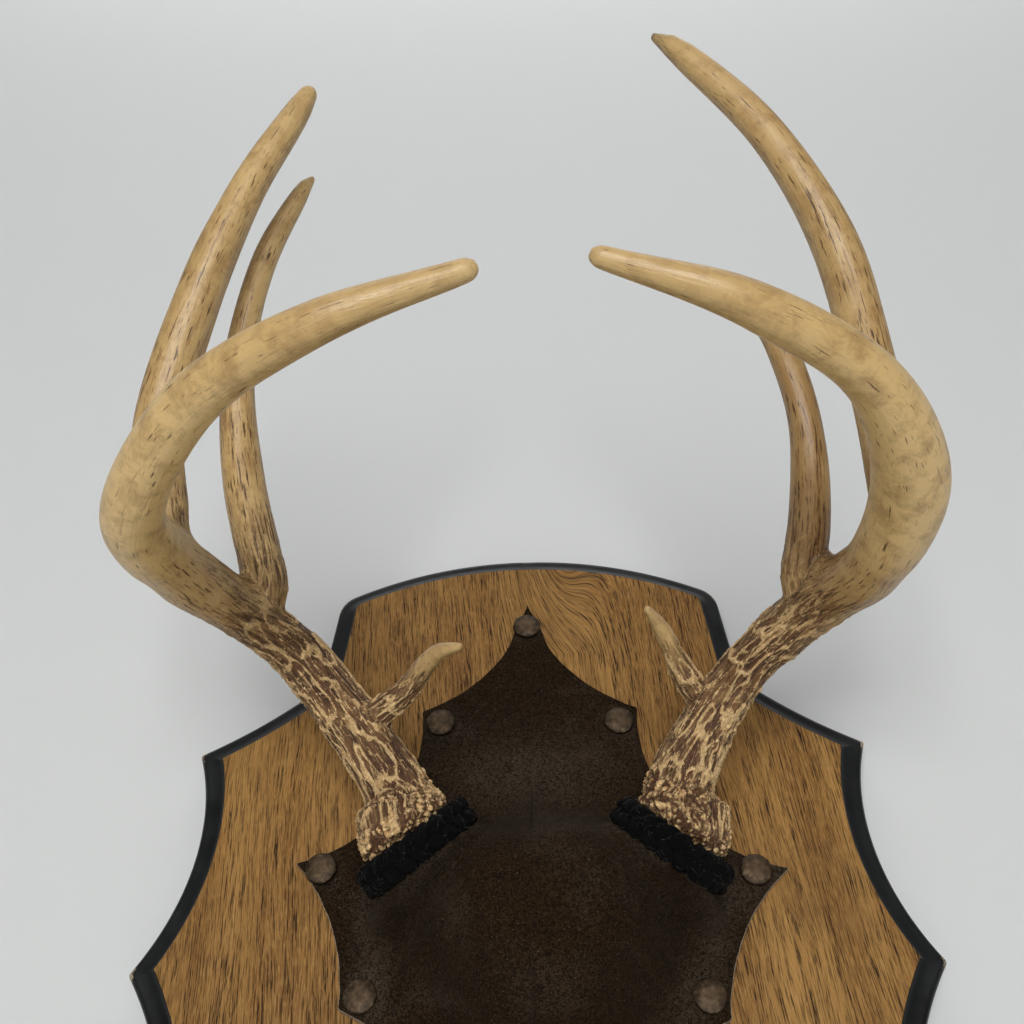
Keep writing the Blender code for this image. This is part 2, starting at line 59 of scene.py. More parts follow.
# Sizes of the dressed pieces alone
VOXEL, QUICK_VOXEL = 0.00114, 0.0014
STRAND_RADIUS, STRAND_LAY = 0.0029, 0.007
FIBRES, QUICK_FIBRES = 1500, 300
FACE = -PLAQUE_THICKNESS

PLAQUE_KEYS = [
    (0.000, 1.000, 0.064, 0.0),
    (0.587, 0.87, 0.000, 0.0072),
    (0.62, 0.595, -0.034, 0.009),
    (0.935, 0.405, -0.125, 0.0014),
    (1.000, -0.12, -0.07, 0.0014),
    (0.817, -0.552, -0.09, 0.0014),
    (0.000, -1.000, 0.0, 0.0014),
]
SUEDE_KEYS = [
    (-0.032, 1.000, -0.13, 0.0),
    (0.453, 0.571, -0.2, 0.001),
    (1.000, 0.019, -0.1, 0.001),
    (0.688, -0.395, -0.11, 0.001),
    (-0.032, -1.000, -0.11, 0.0),
    (-0.768, -0.352, -0.1, 0.001),
    (-1.000, 0.061, -0.2, 0.001),
    (-0.517, 0.571, -0.13, 0.001),
]
NAILS = {
    "nail_top": (-0.0005, -0.014),
    "nail_upper_right": (-0.0088, -0.0075),
    "nail_ear_right": (-0.0138, -0.001),
    "nail_lower_right": (-0.0072, 0.0083),
    "nail_bottom": (0.0000, 0.0142),
    "nail_lower_left": (0.0082, 0.004),
    "nail_ear_left": (0.011, -0.003),
    "nail_upper_left": (0.0088, -0.0066),
}

# Centre lines of the antlers from the middle of the burr, in percent of BEAM_LENGTH: x outward, y, z and radius
ANTLERS = {
    "left": {
        "beam": [
            (0.0, 0.0, 0.0, 4.2), (2.0, -1.4, 5.4, 3.6), (11.5, -9.5, 16.2, 3.0), (17.0, -18.5, 17.0, 2.9),
            (21.0, -29.2, 14.6, 3.3), (21.4, -40.6, 11.4, 2.9), (12.9, -54.0, 10.7, 2.3),
            (1.6, -62.1, 10.2, 1.8), (-10.1, -64.4, 13.4, 0.94),
        ],
        "brow": [
            (2.0, -5.4, 11.7, 2.3), (-0.9, -9.9, 13.4, 1.4), (-3.8, -14.7, 13.7, 1.0),
            (-6.5, -17.9, 12.3, 0.42),
        ],
        "second": [
            (14.1, -16.7, 17.6, 2.5), (16.8, -27.4, 27.9, 2.3), (17.2, -35.7, 37.8, 1.8),
            (14.9, -41.9, 47.6, 1.4), (11.0, -46.0, 55.3, 0.96), (9.5, -46.8, 57.8, 0.26),
        ],
        "third": [
            (21.9, -30.4, 16.2, 2.7), (23.1, -37.5, 26.1, 2.5), (19.2, -45.3, 38.1, 2.4),
            (14.8, -51.0, 48.2, 2.0), (10.2, -54.9, 55.9, 1.5), (8.7, -56.2, 58.6, 1.04),
        ],
    },
    "right": {
        "beam": [
            (0.0, 0.0, 0.0, 4.2), (0.7, -2.2, 5.5, 3.7), (7.4, -10.0, 13.7, 2.8), (14.9, -20.9, 15.6, 3.1),
            (17.9, -30.6, 12.7, 3.2), (18.0, -42.7, 11.7, 3.4), (12.2, -54.8, 10.9, 2.4),
            (1.7, -62.6, 11.1, 1.8), (-9.7, -65.6, 13.6, 0.93),
        ],
        "brow": [
            (2.3, -6.8, 11.8, 2.3), (0.6, -10.5, 14.8, 1.35), (-1.4, -14.8, 16.6, 1.0),
            (-3.2, -18.3, 16.7, 0.5),
        ],
        "second": [
            (12.6, -19.1, 16.0, 2.5), (13.5, -27.9, 21.3, 2.2), (13.3, -34.2, 28.2, 1.7),
            (11.3, -38.5, 36.0, 1.5), (8.3, -40.4, 42.1, 0.82), (8.3, -41.0, 44.9, 0.25),
        ],
        "third": [
            (20.7, -30.9, 14.6, 2.4), (18.1, -41.7, 23.6, 2.4), (14.4, -51.7, 34.8, 2.2),
            (8.8, -57.9, 44.8, 1.8), (1.1, -62.0, 53.6, 1.3), (-1.6, -62.7, 56.4, 0.44),
        ],
    },
}


# Numbers

def smooth_step(value):
    value = np.clip(value, 0.0, 1.0)
    return value * value * (3.0 - 2.0 * value)


def unit(vectors):
    return vectors / np.maximum(norm(vectors, axis=-1, keepdims=True), 1e-12)


def hashed(cell, seed):
    """A number from 0 to 1 for each whole-number cell."""
    i, j, k = (cell[..., axis].astype(np.int64).astype(np.uint32) for axis in range(3))
    mixed = i * np.uint32(374761393) + j * np.uint32(668265263) + k * np.uint32(2147483647)
    mixed = mixed + np.uint32(seed * 7919 + 17)
    mixed = (mixed ^ (mixed >> np.uint32(13))) * np.uint32(1274126177)
    mixed = (mixed ^ (mixed >> np.uint32(16))) * np.uint32(2246822519)
    return ((mixed ^ (mixed >> np.uint32(15))) & np.uint32(0xFFFFFF)).astype(float) / 0xFFFFFF


def wander(points, size, seed=0):
    """Smooth noise from -1 to 1 with features of this size."""
    scaled = points / size
    cell = np.floor(scaled)
    inside = scaled - cell
    inside = inside * inside * (3.0 - 2.0 * inside)
    total = np.zeros(len(points))
    for corner in range(8):
        step = np.array([corner & 1, corner >> 1 & 1, corner >> 2 & 1])
        share = np.where(step, inside, 1.0 - inside).prod(axis=1)
        total += share * hashed(cell + step, seed)
    return 2.0 * total - 1.0


def wander_arrows(points, size, seed):
    """Smooth noise in each of three directions, from three seeds in a row."""
    return np.stack([wander(points, size, seed + k) for k in range(3)], axis=1)


def cobbles(points, size, seed=0):
    """Round beads of this size: 1 on top of a bead, 0 in the cracks between them, and a number per bead."""
    scaled = points / size
    cell = np.floor(scaled)
    first = np.full(len(points), 9.0)
    second = first.copy()
    tone = np.zeros(len(points))
    for i in (-1, 0, 1):
        for j in (-1, 0, 1):
            for k in (-1, 0, 1):
                other = cell + (i, j, k)
                place = np.stack([hashed(other, seed + axis) for axis in range(3)], axis=1)
                middle = other + 0.15 + 0.7 * place
                gap = norm(scaled - middle, axis=1)
                closer = gap < first
                second = np.where(closer, first, np.minimum(second, gap))
                tone = np.where(closer, hashed(other, seed + 7), tone)
                first = np.where(closer, gap, first)
    dome = np.sqrt(np.clip(1.0 - (first / 0.75) ** 2, 0.0, 1.0))
    return dome * smooth_step((second - first) * 4.0), tone


# Outlines

def left_of(direction):
    return np.array([-direction[1], direction[0]])


def turned(direction, angle):
    return math.cos(angle) * direction + math.sin(angle) * left_of(direction)


class Stretch:
    """A straight or arched stretch of an outline between two corners. Outward is to the left of travel."""

    def __init__(self, start, end, bulge):
        self.start, self.end, self.bulge = start, end, bulge
        self.length = float(norm(end - start))
        self.along = (end - start) / self.length
        self.half_angle = 2.0 * math.atan(2.0 * bulge)

    def at(self, share):
        middle = (self.start + self.end) / 2.0
        if abs(self.half_angle) < 1e-6:
            return self.start + (self.end - self.start) * share
        radius = self.length / 2.0 / math.sin(self.half_angle)
        angle = self.half_angle * (2.0 * share - 1.0)
        centre = middle + left_of(self.along) * (self.bulge * self.length - radius)
        return centre + radius * (math.sin(angle) * self.along + math.cos(angle) * left_of(self.along))


def stretches_of(keys):
    corners = [np.array(key[:2]) for key in keys]
    return [Stretch(corners[i], corners[(i + 1) % len(keys)], keys[i][2]) for i in range(len(keys))]


def inset_outline(keys, inset):
    """The keys of the same outline moved inward by inset, with mitred corners."""
    stretches = stretches_of(keys)
    count = len(keys)
    moved, rounds = [], []
    for i, key in enumerate(keys):
        arriving = turned(stretches[i - 1].along, -stretches[i - 1].half_angle)
        leaving = turned(stretches[i].along, stretches[i].half_angle)
        first, second = left_of(arriving), left_of(leaving)
        moved.append(np.array(key[:2]) - inset * (first + second) / (1.0 + first @ second))
        turn = -math.atan2(arriving[0] * leaving[1] - arriving[1] * leaving[0], arriving @ leaving)
        rounds.append(max(key[3] - inset * math.tan(turn / 2.0), 0.0003) if key[3] else 0.0)
    result = []
    for i, stretch in enumerate(stretches):
        start, end = moved[i], moved[(i + 1) % count]
        chord = end - start
        middle = stretch.at(0.5) - inset * left_of(stretch.along)
        rise = (middle - (start + end) / 2.0) @ left_of(chord / norm(chord))
        result.append((start[0], start[1], rise / norm(chord), rounds[i]))
    return result


def outline_points(keys, counts, corner_steps=6):
    """Points round the outline, with counts[i] steps on its i-th stretch and a few on each rounded corner."""
    count = len(keys)
    stretches = stretches_of(keys)
    points = []
    for i, stretch in enumerate(stretches):
        rounding, next_rounding = keys[i][3], keys[(i + 1) % count][3]
        first, last = rounding / stretch.length, 1.0 - next_rounding / stretch.length
        if rounding:
            before = stretches[i - 1]
            a, b = before.at(1.0 - rounding / before.length), stretch.at(first)
            for share in np.arange(1, corner_steps) / corner_steps:
                corner = np.array(keys[i][:2])
                points.append((1 - share) ** 2 * a + 2 * share * (1 - share) * corner + share**2 * b)
        shares = np.linspace(first, last, counts[i] + 1)
        points += [stretch.at(share) for share in (shares if next_rounding else shares[:-1])]
    return np.array(points)


def step_counts(keys, spacing):
    count = len(keys)
    chords = [math.dist(keys[i][:2], keys[(i + 1) % count][:2]) for i in range(count)]
    return [max(1, round(chord / spacing)) for chord in chords]


def plaque_outline():
    right = [(x * PLAQUE_WIDTH / 2, z * PLAQUE_HEIGHT / 2, *rest) for x, z, *rest in PLAQUE_KEYS]
    bottom = len(right) - 1
    right[bottom] = (*right[bottom][:2], right[bottom - 1][2], right[bottom][3])
    left = [(-right[i][0], right[i][1], right[i - 1][2], right[i][3]) for i in range(bottom - 1, 0, -1)]
    return right + left


def suede_outline():
    return [
        (SUEDE_CENTRE[0] + x * SUEDE_WIDTH / 2, SUEDE_CENTRE[1] + z * SUEDE_HEIGHT / 2, bulge, rounding)
        for x, z, bulge, rounding in SUEDE_KEYS
    ]


def nail_places():
    corners = zip(NAILS.items(), suede_outline())
    return {name: (key[0] + step[0], key[1] + step[1]) for (name, step), key in corners}


# Materials

class Shader:
    """A new material, with short calls for the nodes that its colours and bumps are made from."""

    def __init__(self, name):
        self.material = bpy.data.materials.new(name)
        self.material.use_nodes = True
        self.tree = self.material.node_tree
        self.surface = self.tree.nodes["Principled BSDF"]

    def feed(self, socket, value):
        if isinstance(value, bpy.types.NodeSocket):
            self.tree.links.new(value, socket)
        elif isinstance(value, (tuple, list)) and len(value) == 3 and socket.type == "RGBA":
            socket.default_value = (*value, 1.0)
        else:
            socket.default_value = value

    def node(self, kind, inputs=None, **settings):
        node = self.tree.nodes.new(kind)
        for key, value in settings.items():
            setattr(node, key, value)
        for key, value in (inputs or {}).items():
            self.feed(node.inputs[key], value)
        return node

    def math(self, operation, first, second=0.0, third=0.0, clamp=False):
        inputs = {0: first, 1: second, 2: third}
        return self.node("ShaderNodeMath", inputs, operation=operation, use_clamp=clamp).outputs[0]

    def sum(self, first, second, clamp=False):
        return self.math("ADD", first, second, clamp=clamp)

    def times(self, first, second):
        return self.math("MULTIPLY", first, second)

    def place(self):
        return self.node("ShaderNodeTexCoord").outputs["Object"]

    def stored(self, name, output):
        settings = {"attribute_name": name, "attribute_type": "GEOMETRY"}
        return self.node("ShaderNodeAttribute", **settings).outputs[output]

    def part(self, name):
        """A number stored on the mesh."""
        return self.stored(name, "Fac")

    def arrow(self, name):
        """A vector stored on the mesh."""
        return self.stored(name, "Vector")

    def scaled(self, vector, scale):
        return self.node("ShaderNodeMapping", {"Vector": vector, "Scale": scale}).outputs[0]

    def split(self, vector):
        return self.node("ShaderNodeSeparateXYZ", {0: vector}).outputs

    def joined(self, x, y, z):
        return self.node("ShaderNodeCombineXYZ", {0: x, 1: y, 2: z}).outputs[0]

    def noise(self, vector, scale=1.0, detail=3.0, rough=0.55, warp=0.0):
        inputs = {"Vector": vector, "Scale": scale, "Detail": detail, "Roughness": rough, "Distortion": warp}
        return self.node("ShaderNodeTexNoise", inputs).outputs["Fac"]

    def stretched(self, vector, scale, detail=3.0, rough=0.55, warp=0.0):
        """Noise with its own scale on each axis."""
        return self.noise(self.scaled(vector, scale), 1.0, detail, rough, warp)

    def between(self, value, low, high, start=0.0, end=1.0):
        """value from low to high becomes start to end, and stays within them."""
        inputs = {"Value": value, "From Min": low, "From Max": high, "To Min": start, "To Max": end}
        return self.node("ShaderNodeMapRange", inputs, clamp=True).outputs["Result"]

    def mix(self, factor, first, second):
        node = self.tree.nodes.new("ShaderNodeMix")
        node.data_type = "RGBA"
        self.feed(node.inputs["Factor"], factor)
        colours = [socket for socket in node.inputs if socket.type == "RGBA"]
        self.feed(colours[0], first)
        self.feed(colours[1], second)
        return next(socket for socket in node.outputs if socket.type == "RGBA")

    def over(self, first, second, value, low, high, most=1.0):
        """The second colour laid over the first as value goes from low to high."""
        return self.mix(self.between(value, low, high, 0.0, most), first, second)

    def bump(self, height, distance, strength=1.0):
        inputs = {"Height": height, "Distance": distance, "Strength": strength}
        return self.node("ShaderNodeBump", inputs).outputs[0]

    def finish(self, colour, roughness, normal=None, **constants):
        self.feed(self.surface.inputs["Base Color"], colour)
        self.feed(self.surface.inputs["Roughness"], roughness)
        if normal is not None:
            self.feed(self.surface.inputs["Normal"], normal)
        for name, value in constants.items():
            self.feed(self.surface.inputs[name.replace("_", " ")], value)
        return self.material


def oak_material():
    s = Shader("oak_satin")
    x, y, z = s.split(s.place())
    # A U-shaped figure near the top, and a lean of about four degrees everywhere
    across = s.math("DIVIDE", s.math("SUBTRACT", x, 0.014), 0.019)
    fold = s.math("EXPONENT", s.times(s.times(across, across), -1.0))
    swirl = s.times(fold, s.between(z, 0.122, 0.19, 0.0, 0.04))
    slow = s.stretched(s.place(), (22.0, 22.0, 6.0), 2.0)
    lean = s.times(z, 0.074)
    ring = s.sum(s.sum(x, lean), s.sum(swirl, s.times(slow, 0.012)))
    grain = s.joined(ring, y, z)
    broad = s.stretched(grain, (60.0, 30.0, 4.0), 3.0)
    bands = s.stretched(grain, (300.0, 60.0, 5.0), 3.0, 0.6)
    lines = s.stretched(grain, (1900.0, 900.0, 62.0), 1.0, 0.6)
    dashes = s.stretched(grain, (2300.0, 1200.0, 230.0), 1.0, 0.6)
    fibre = s.stretched(grain, (3200.0, 1500.0, 300.0), 1.0, 0.6)
    early = s.between(bands, 0.42, 0.58)
    pores = s.times(s.between(lines, 0.5, 0.6), s.between(dashes, 0.38, 0.52, 0.25, 1.0))
    pores = s.times(pores, s.math("MULTIPLY_ADD", early, 0.45, 0.6))
    base = s.over((0.235, 0.108, 0.024), (0.39, 0.205, 0.056), broad, 0.35, 0.65)
    base = s.mix(s.times(early, 0.35), base, (0.15, 0.064, 0.014))
    base = s.over(base, (0.5, 0.285, 0.092), fibre, 0.45, 0.66, 0.45)
    colour = s.mix(s.times(pores, 0.95), base, (0.026, 0.011, 0.0035))
    grime = s.noise(s.place(), 26.0, 4.0, 0.6)
    colour = s.over(colour, (0.07, 0.03, 0.008), grime, 0.5, 0.78, 0.4)
    roughness = s.sum(s.between(grime, 0.3, 0.7, 0.44, 0.6), s.times(pores, 0.25))
    height = s.math("SUBTRACT", s.times(fibre, 0.25), pores)
    return s.finish(colour, roughness, s.bump(height, 0.00022, 0.8), Specular_IOR_Level=0.25)


def border_material():
    """Black paint, worn through to the wood on the corners and along the step at the face."""
    s = Shader("border_black")
    wear = s.part("wear")
    blotch = s.noise(s.place(), 900.0, 4.0, 0.7)
    patch = s.noise(s.place(), 120.0, 3.0, 0.6)
    bare = s.between(s.sum(s.sum(blotch, s.times(patch, 0.6)), wear), 1.42, 1.5)
    wood = s.mix(s.stretched(s.place(), (1200.0, 1200.0, 90.0), 2.0), (0.16, 0.115, 0.07), (0.52, 0.44, 0.32))
    smudge = s.noise(s.place(), 60.0, 5.0, 0.65)
    black = s.over((0.002, 0.0022, 0.0023), (0.0075, 0.0082, 0.0084), smudge, 0.35, 0.75)
    colour = s.mix(bare, black, wood)
    roughness = s.sum(s.between(smudge, 0.3, 0.8, 0.3, 0.5), s.times(bare, 0.35))
    height = s.math("SUBTRACT", s.stretched(s.place(), (700.0, 700.0, 160.0), 4.0), bare)
    return s.finish(colour, roughness, s.bump(height, 0.0001, 0.6), Specular_IOR_Level=0.5)


def suede_material():
    s = Shader("suede_nap")
    place = s.place()
    fibres = s.noise(place, 1500.0, 2.0, 0.7)
    tufts = s.noise(place, 650.0, 3.0, 0.7)
    brushed = s.noise(place, 34.0, 5.0, 0.65, 0.6)
    wide = s.noise(place, 13.0, 2.0, 0.5)
    dark, mid, worn = (0.006, 0.003, 0.0011), (0.03, 0.0172, 0.0072), (0.082, 0.062, 0.043)
    nap = s.sum(s.times(fibres, 0.65), s.times(tufts, 0.35))
    colour = s.over(dark, mid, nap, 0.42, 0.6)
    sheen = s.sum(s.times(brushed, 0.6), s.times(wide, 0.4))
    # The lighter worn colour is partly real rubbed nap and partly painted sheen, laid where the sheen noise and
    # the stored mask are high
    rubbed_and_sheen = s.sum(s.between(sheen, 0.47, 0.72, 0.0, 0.55), s.times(s.part("rubbed_and_sheen"), 0.7), clamp=True)
    colour = s.mix(s.times(rubbed_and_sheen, s.between(nap, 0.42, 0.58, 0.1, 1.0)), colour, worn)
    specks = s.between(s.noise(place, 1700.0, 1.0, 0.5), 0.72, 0.78, 0.0, 0.7)
    colour = s.mix(specks, colour, (0.2, 0.175, 0.145))
    height = s.sum(s.times(fibres, 0.6), tufts)
    normal = s.bump(height, 0.0006, 0.9)
    return s.finish(
        colour, s.between(fibres, 0.2, 0.8, 0.82, 0.98), normal,
        Specular_IOR_Level=0.06, Sheen_Weight=0.02, Sheen_Roughness=0.6, Sheen_Tint=(0.75, 0.62, 0.5, 1.0),
    )


def hide_edge_material():
    s = Shader("suede_cut_edge")
    place = s.place()
    thready = s.noise(place, 1400.0, 4.0, 0.7)
    colour = s.over((0.1, 0.07, 0.046), (0.42, 0.335, 0.24), thready, 0.35, 0.65)
    # The cut edge is darker towards the top
    colour = s.mix(s.part("darker_above"), colour, (0.02, 0.012, 0.007))
    return s.finish(colour, 0.95, s.bump(thready, 0.0002, 0.9), Specular_IOR_Level=0.15)


def antler_material():
    s = Shader("antler_bone")
    grain = s.arrow("grain")
    rough, ridge, pearl, along = s.part("rough"), s.part("ridge"), s.part("pearl"), s.part("along")
    place = s.place()
    cloud = s.noise(place, 24.0, 4.0, 0.6)
    mottle = s.noise(place, 120.0, 5.0, 0.7, 0.4)
    patch = s.stretched(grain, (150.0, 150.0, 42.0), 4.0, 0.65)
    streak = s.stretched(grain, (560.0, 560.0, 62.0), 4.0, 0.65, 0.3)
    thin = s.stretched(grain, (1250.0, 1250.0, 95.0), 2.0, 0.65)
    speckle = s.noise(place, 1000.0, 4.0, 0.75)
    wavy = s.stretched(grain, (680.0, 680.0, 100.0), 2.0, 0.6, 0.8)
    vein = s.between(s.math("ABSOLUTE", s.math("SUBTRACT", wavy, 0.5)), 0.0, 0.045, 1.0, 0.0)
    # Smooth bone: golden tan, mottled, with thin dark lines along the branch where it is lined
    lined = s.times(s.part("lined"), s.between(patch, 0.38, 0.6, 0.45, 1.0))
    bone = s.over((0.52, 0.335, 0.13), (0.64, 0.435, 0.188), cloud, 0.3, 0.7)
    # Darker with age, and with painted shade on the right antler's second and third tines
    bone = s.mix(s.times(s.part("aged_and_shaded"), s.between(patch, 0.35, 0.6, 0.55, 1.0)), bone, (0.215, 0.108, 0.032))
    # The bow is lightened: partly real polish, partly a painted highlight
    bone = s.mix(s.part("polish_and_highlight"), bone, (0.81, 0.565, 0.245))
    bone = s.over(bone, (0.33, 0.185, 0.062), mottle, 0.45, 0.64, 0.62)
    more = s.times(lined, 0.17)
    bone = s.over(bone, (0.19, 0.094, 0.029), s.sum(streak, more), 0.63, 0.75, 0.6)
    bone = s.over(bone, (0.066, 0.026, 0.008), s.sum(thin, more), 0.665, 0.72, 0.9)
    bone = s.over(bone, (0.08, 0.04, 0.015), speckle, 0.64, 0.72, 0.6)
    bone = s.over(bone, (0.62, 0.45, 0.22), along, 0.8, 1.0, 0.25)
    # Rough beam: thin pale ridges over red-brown, which is bleached to tan in places
    floor = s.over((0.25, 0.13, 0.048), (0.096, 0.034, 0.01), patch, 0.4, 0.62)
    floor = s.over(floor, (0.036, 0.011, 0.0035), streak, 0.42, 0.6, 0.85)
    pale = s.over((0.82, 0.59, 0.3), (0.46, 0.265, 0.1), speckle, 0.38, 0.62)
    crest = s.sum(ridge, s.between(thin, 0.3, 0.7, 0.3, -0.3))
    crest = s.sum(crest, s.times(vein, 0.55))
    bark = s.over(floor, pale, crest, 0.37, 0.64)
    # Burr: pale and orange pearls, dark red-brown in the cracks
    bead = s.over((0.94, 0.68, 0.35), (0.58, 0.29, 0.09), speckle, 0.4, 0.62)
    gap = s.over((0.034, 0.011, 0.003), (0.15, 0.06, 0.018), speckle, 0.4, 0.6)
    height = s.sum(ridge, s.between(mottle, 0.35, 0.65, 0.22, -0.3))
    height = s.sum(height, s.between(speckle, 0.3, 0.7, 0.3, -0.3))
    crown = s.over(gap, bead, height, 0.32, 0.72)
    colour = s.mix(rough, bone, bark)
    colour = s.mix(pearl, colour, crown)
    colour = s.mix(s.part("soot"), colour, (0.06, 0.048, 0.022))
    gloss = s.sum(s.between(cloud, 0.3, 0.7, 0.3, 0.44), s.times(rough, 0.26))
    fine = s.sum(s.times(streak, -0.8), s.times(thin, -0.5))
    fine = s.sum(fine, s.times(vein, s.times(rough, 0.9)))
    fine = s.sum(fine, s.times(speckle, s.sum(rough, pearl)))
    return s.finish(
        colour, gloss, s.bump(fine, 0.00036, 0.9), Specular_IOR_Level=0.45,
        Subsurface_Weight=0.04, Subsurface_Radius=(0.004, 0.002, 0.001), Subsurface_Scale=0.5,
    )


def cord_material():
    s = Shader("cord_black")
    place = s.place()
    yarn = s.noise(place, 1100.0, 4.0, 0.75)
    fluff = s.noise(place, 2400.0, 3.0, 0.7)
    colour = s.over((0.0004, 0.0004, 0.0004), (0.0042, 0.0043, 0.0042), yarn, 0.3, 0.7)
    colour = s.over(colour, (0.045, 0.045, 0.044), fluff, 0.64, 0.74, 0.6)
    loose = s.over((0.01, 0.01, 0.01), (0.17, 0.166, 0.16), yarn, 0.4, 0.62)
    colour = s.mix(s.part("loose"), colour, loose)
    height = s.sum(yarn, s.times(fluff, 0.4))
    return s.finish(
        colour, s.between(yarn, 0.2, 0.8, 0.75, 0.95), s.bump(height, 0.0006, 0.9),
        Specular_IOR_Level=0.08, Sheen_Weight=0.006, Sheen_Roughness=0.5,
    )


def bronze_material():
    s = Shader("bronze_hammered")
    place = s.place()
    patina = s.noise(place, 420.0, 5.0, 0.65)
    scratch = s.stretched(place, (1500.0, 1500.0, 4000.0), 3.0, 0.7)
    worn = s.sum(s.part("high"), s.between(patina, 0.3, 0.7, -0.5, 0.5))
    colour = s.over((0.022, 0.013, 0.006), (0.1, 0.062, 0.031), worn, 0.2, 1.0)
    colour = s.over(colour, (0.19, 0.128, 0.07), patina, 0.54, 0.68, 0.6)
    roughness = s.between(scratch, 0.3, 0.7, 0.42, 0.62)
    normal = s.bump(s.sum(patina, s.times(scratch, 0.5)), 0.0003, 0.8)
    return s.finish(colour, roughness, normal, Metallic=0.55)


# Pieces

def placed(name, data):
    obj = bpy.data.objects.new(name, data)
    bpy.context.scene.collection.objects.link(obj)
    return obj


def piece(name, mesh, materials, node, smooth_angle=None):
    obj = placed(name, mesh)
    for material in materials:
        mesh.materials.append(material)
    mesh.shade_smooth()
    if smooth_angle is not None:
        mesh.set_sharp_from_angle(angle=math.radians(smooth_angle))
    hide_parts(node)
    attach(obj, "root")
    return obj


def store(mesh, name, values):
    attribute = mesh.attributes.new(name, "FLOAT", "POINT")
    attribute.data.foreach_set("value", np.asarray(values, np.float32))


def vectors_of(mesh, name):
    vectors = np.empty(len(mesh.vertices) * 3, np.float32)
    mesh.vertices.foreach_get(name, vectors)
    return vectors.reshape(-1, 3).astype(float)


def points_of(mesh):
    return vectors_of(mesh, "co")


def normals_of(mesh):
    return vectors_of(mesh, "normal")


def move_points(mesh, points):
    mesh.vertices.foreach_set("co", points.astype(np.float32).ravel())
    mesh.update()


def rings_mesh(name, rings, closed_by=None):
    """A mesh from rings of equally many points, each joined to the next, and the last to closed_by."""
    count = len(rings[0])
    points = np.vstack(rings + ([np.array([closed_by])] if closed_by is not None else []))
    faces = []
    for level in range(len(rings) - 1):
        base, nxt = level * count, (level + 1) * count
        for i in range(count):
            j = (i + 1) % count
            faces.append((base + i, base + j, nxt + j, nxt + i))
    if closed_by is not None:
        base = (len(rings) - 1) * count
        for i in range(count):
            faces.append((base + i, base + (i + 1) % count, len(points) - 1))
    mesh = bpy.data.meshes.new(name)
    mesh.from_pydata([tuple(point) for point in points], [], faces)
    return mesh


def flat_ring(outline, y):
    """The points of an x, z outline, all at this y."""
    return np.stack([outline[:, 0], np.full(len(outline), y), outline[:, 1]], axis=1)


@contextmanager
def edited(mesh):
    """The mesh as a bmesh, which is written back at the end."""
    shape = bmesh.new()
    shape.from_mesh(mesh)
    shape.verts.ensure_lookup_table()
    yield shape
    shape.to_mesh(mesh)
    shape.free()


def close_mesh(mesh, rim=0, weld=0.0):
    """Closes the mesh across its first ring of rim points, or welds its ends, and turns its faces outward."""
    with edited(mesh) as shape:
        if rim:
            shape.faces.new([shape.verts[i] for i in range(rim)])
        if weld:
            bmesh.ops.remove_doubles(shape, verts=shape.verts, dist=weld)
        bmesh.ops.recalc_face_normals(shape, faces=shape.faces)


def make_plaque():
    keys = plaque_outline()
    counts = step_counts(keys, 0.0035)
    side = FACE + EDGE_DROP
    profile = [(0.0004, 0.0), (0.0, -0.0005), (0.0, side * 0.5), (0.0, side)]
    for angle in np.radians([15, 30, 45, 60, 75, 90]):
        profile.append((EDGE_LIP * (1 - math.cos(angle)), side - EDGE_LIP * math.sin(angle)))
    run, rise = EDGE_RUN - EDGE_LIP, EDGE_DROP - EDGE_LIP - EDGE_STEP
    for angle in np.radians([6, 18, 30, 42, 54, 66, 78, 90]):
        profile.append((EDGE_LIP + run * math.sin(angle), side - EDGE_LIP - rise * (1 - math.cos(angle))))
    profile.append((EDGE_RUN + 0.00015, FACE + 0.00025))
    painted = len(profile)
    profile += [(EDGE_RUN + 0.0004, FACE), (EDGE_RUN + 0.0012, FACE)]
    rings = []
    for inset, y in profile:
        rings.append(flat_ring(outline_points(inset_outline(keys, inset), counts), y))
    # The face is filled by rings that shrink to the middle
    inner = rings[-1]
    for share in (0.8, 0.55, 0.3, 0.1):
        rings.append(inner * (share, 1.0, share))
    mesh = rings_mesh("plaque", rings, (0.0, FACE, 0.0))
    count = len(inner)
    for face in mesh.polygons:
        level = min(face.vertices) // count
        face.material_index = 1 if level < painted - 1 else 0
    # The back, in one face
    close_mesh(mesh, count)
    points = points_of(mesh)
    corners = np.array([key[:2] for key in keys])
    near = np.min(norm(points[:, None, [0, 2]] - corners[None], axis=2), axis=1)
    level = np.minimum(np.arange(len(points)) // count, len(profile) - 1)
    insets = np.array([inset for inset, _ in profile])[level]
    lip = np.exp(-(((insets - EDGE_LIP * 0.35) / 0.0016) ** 2))
    worn = 0.1 * lip + lip * 0.62 * np.exp(-((near / 0.007) ** 2)) + 0.1 * np.exp(-((near / 0.02) ** 2))
    worn[level >= painted - 1] = 0.5
    store(mesh, "wear", worn)
    return piece("plaque_oak", mesh, [oak_material(), border_material()], "plaque", 35)


def burr_frame(side):
    x, out, z = BURR_RIGHT if side > 0 else BURR_LEFT
    axis = np.array([side * BURR_AXIS[0], BURR_AXIS[1], BURR_AXIS[2]])
    return np.array([x, FACE - out, z]), axis / norm(axis)


def braid_centre(side):
    middle, axis = burr_frame(side)
    return middle - axis * (BRAID_THICKNESS / 2.0 + SEAT_GAP)


BRAID_RADIUS = PEDICLE_RADIUS + PEDICLE_PLAY + BRAID_THICKNESS / 2.0


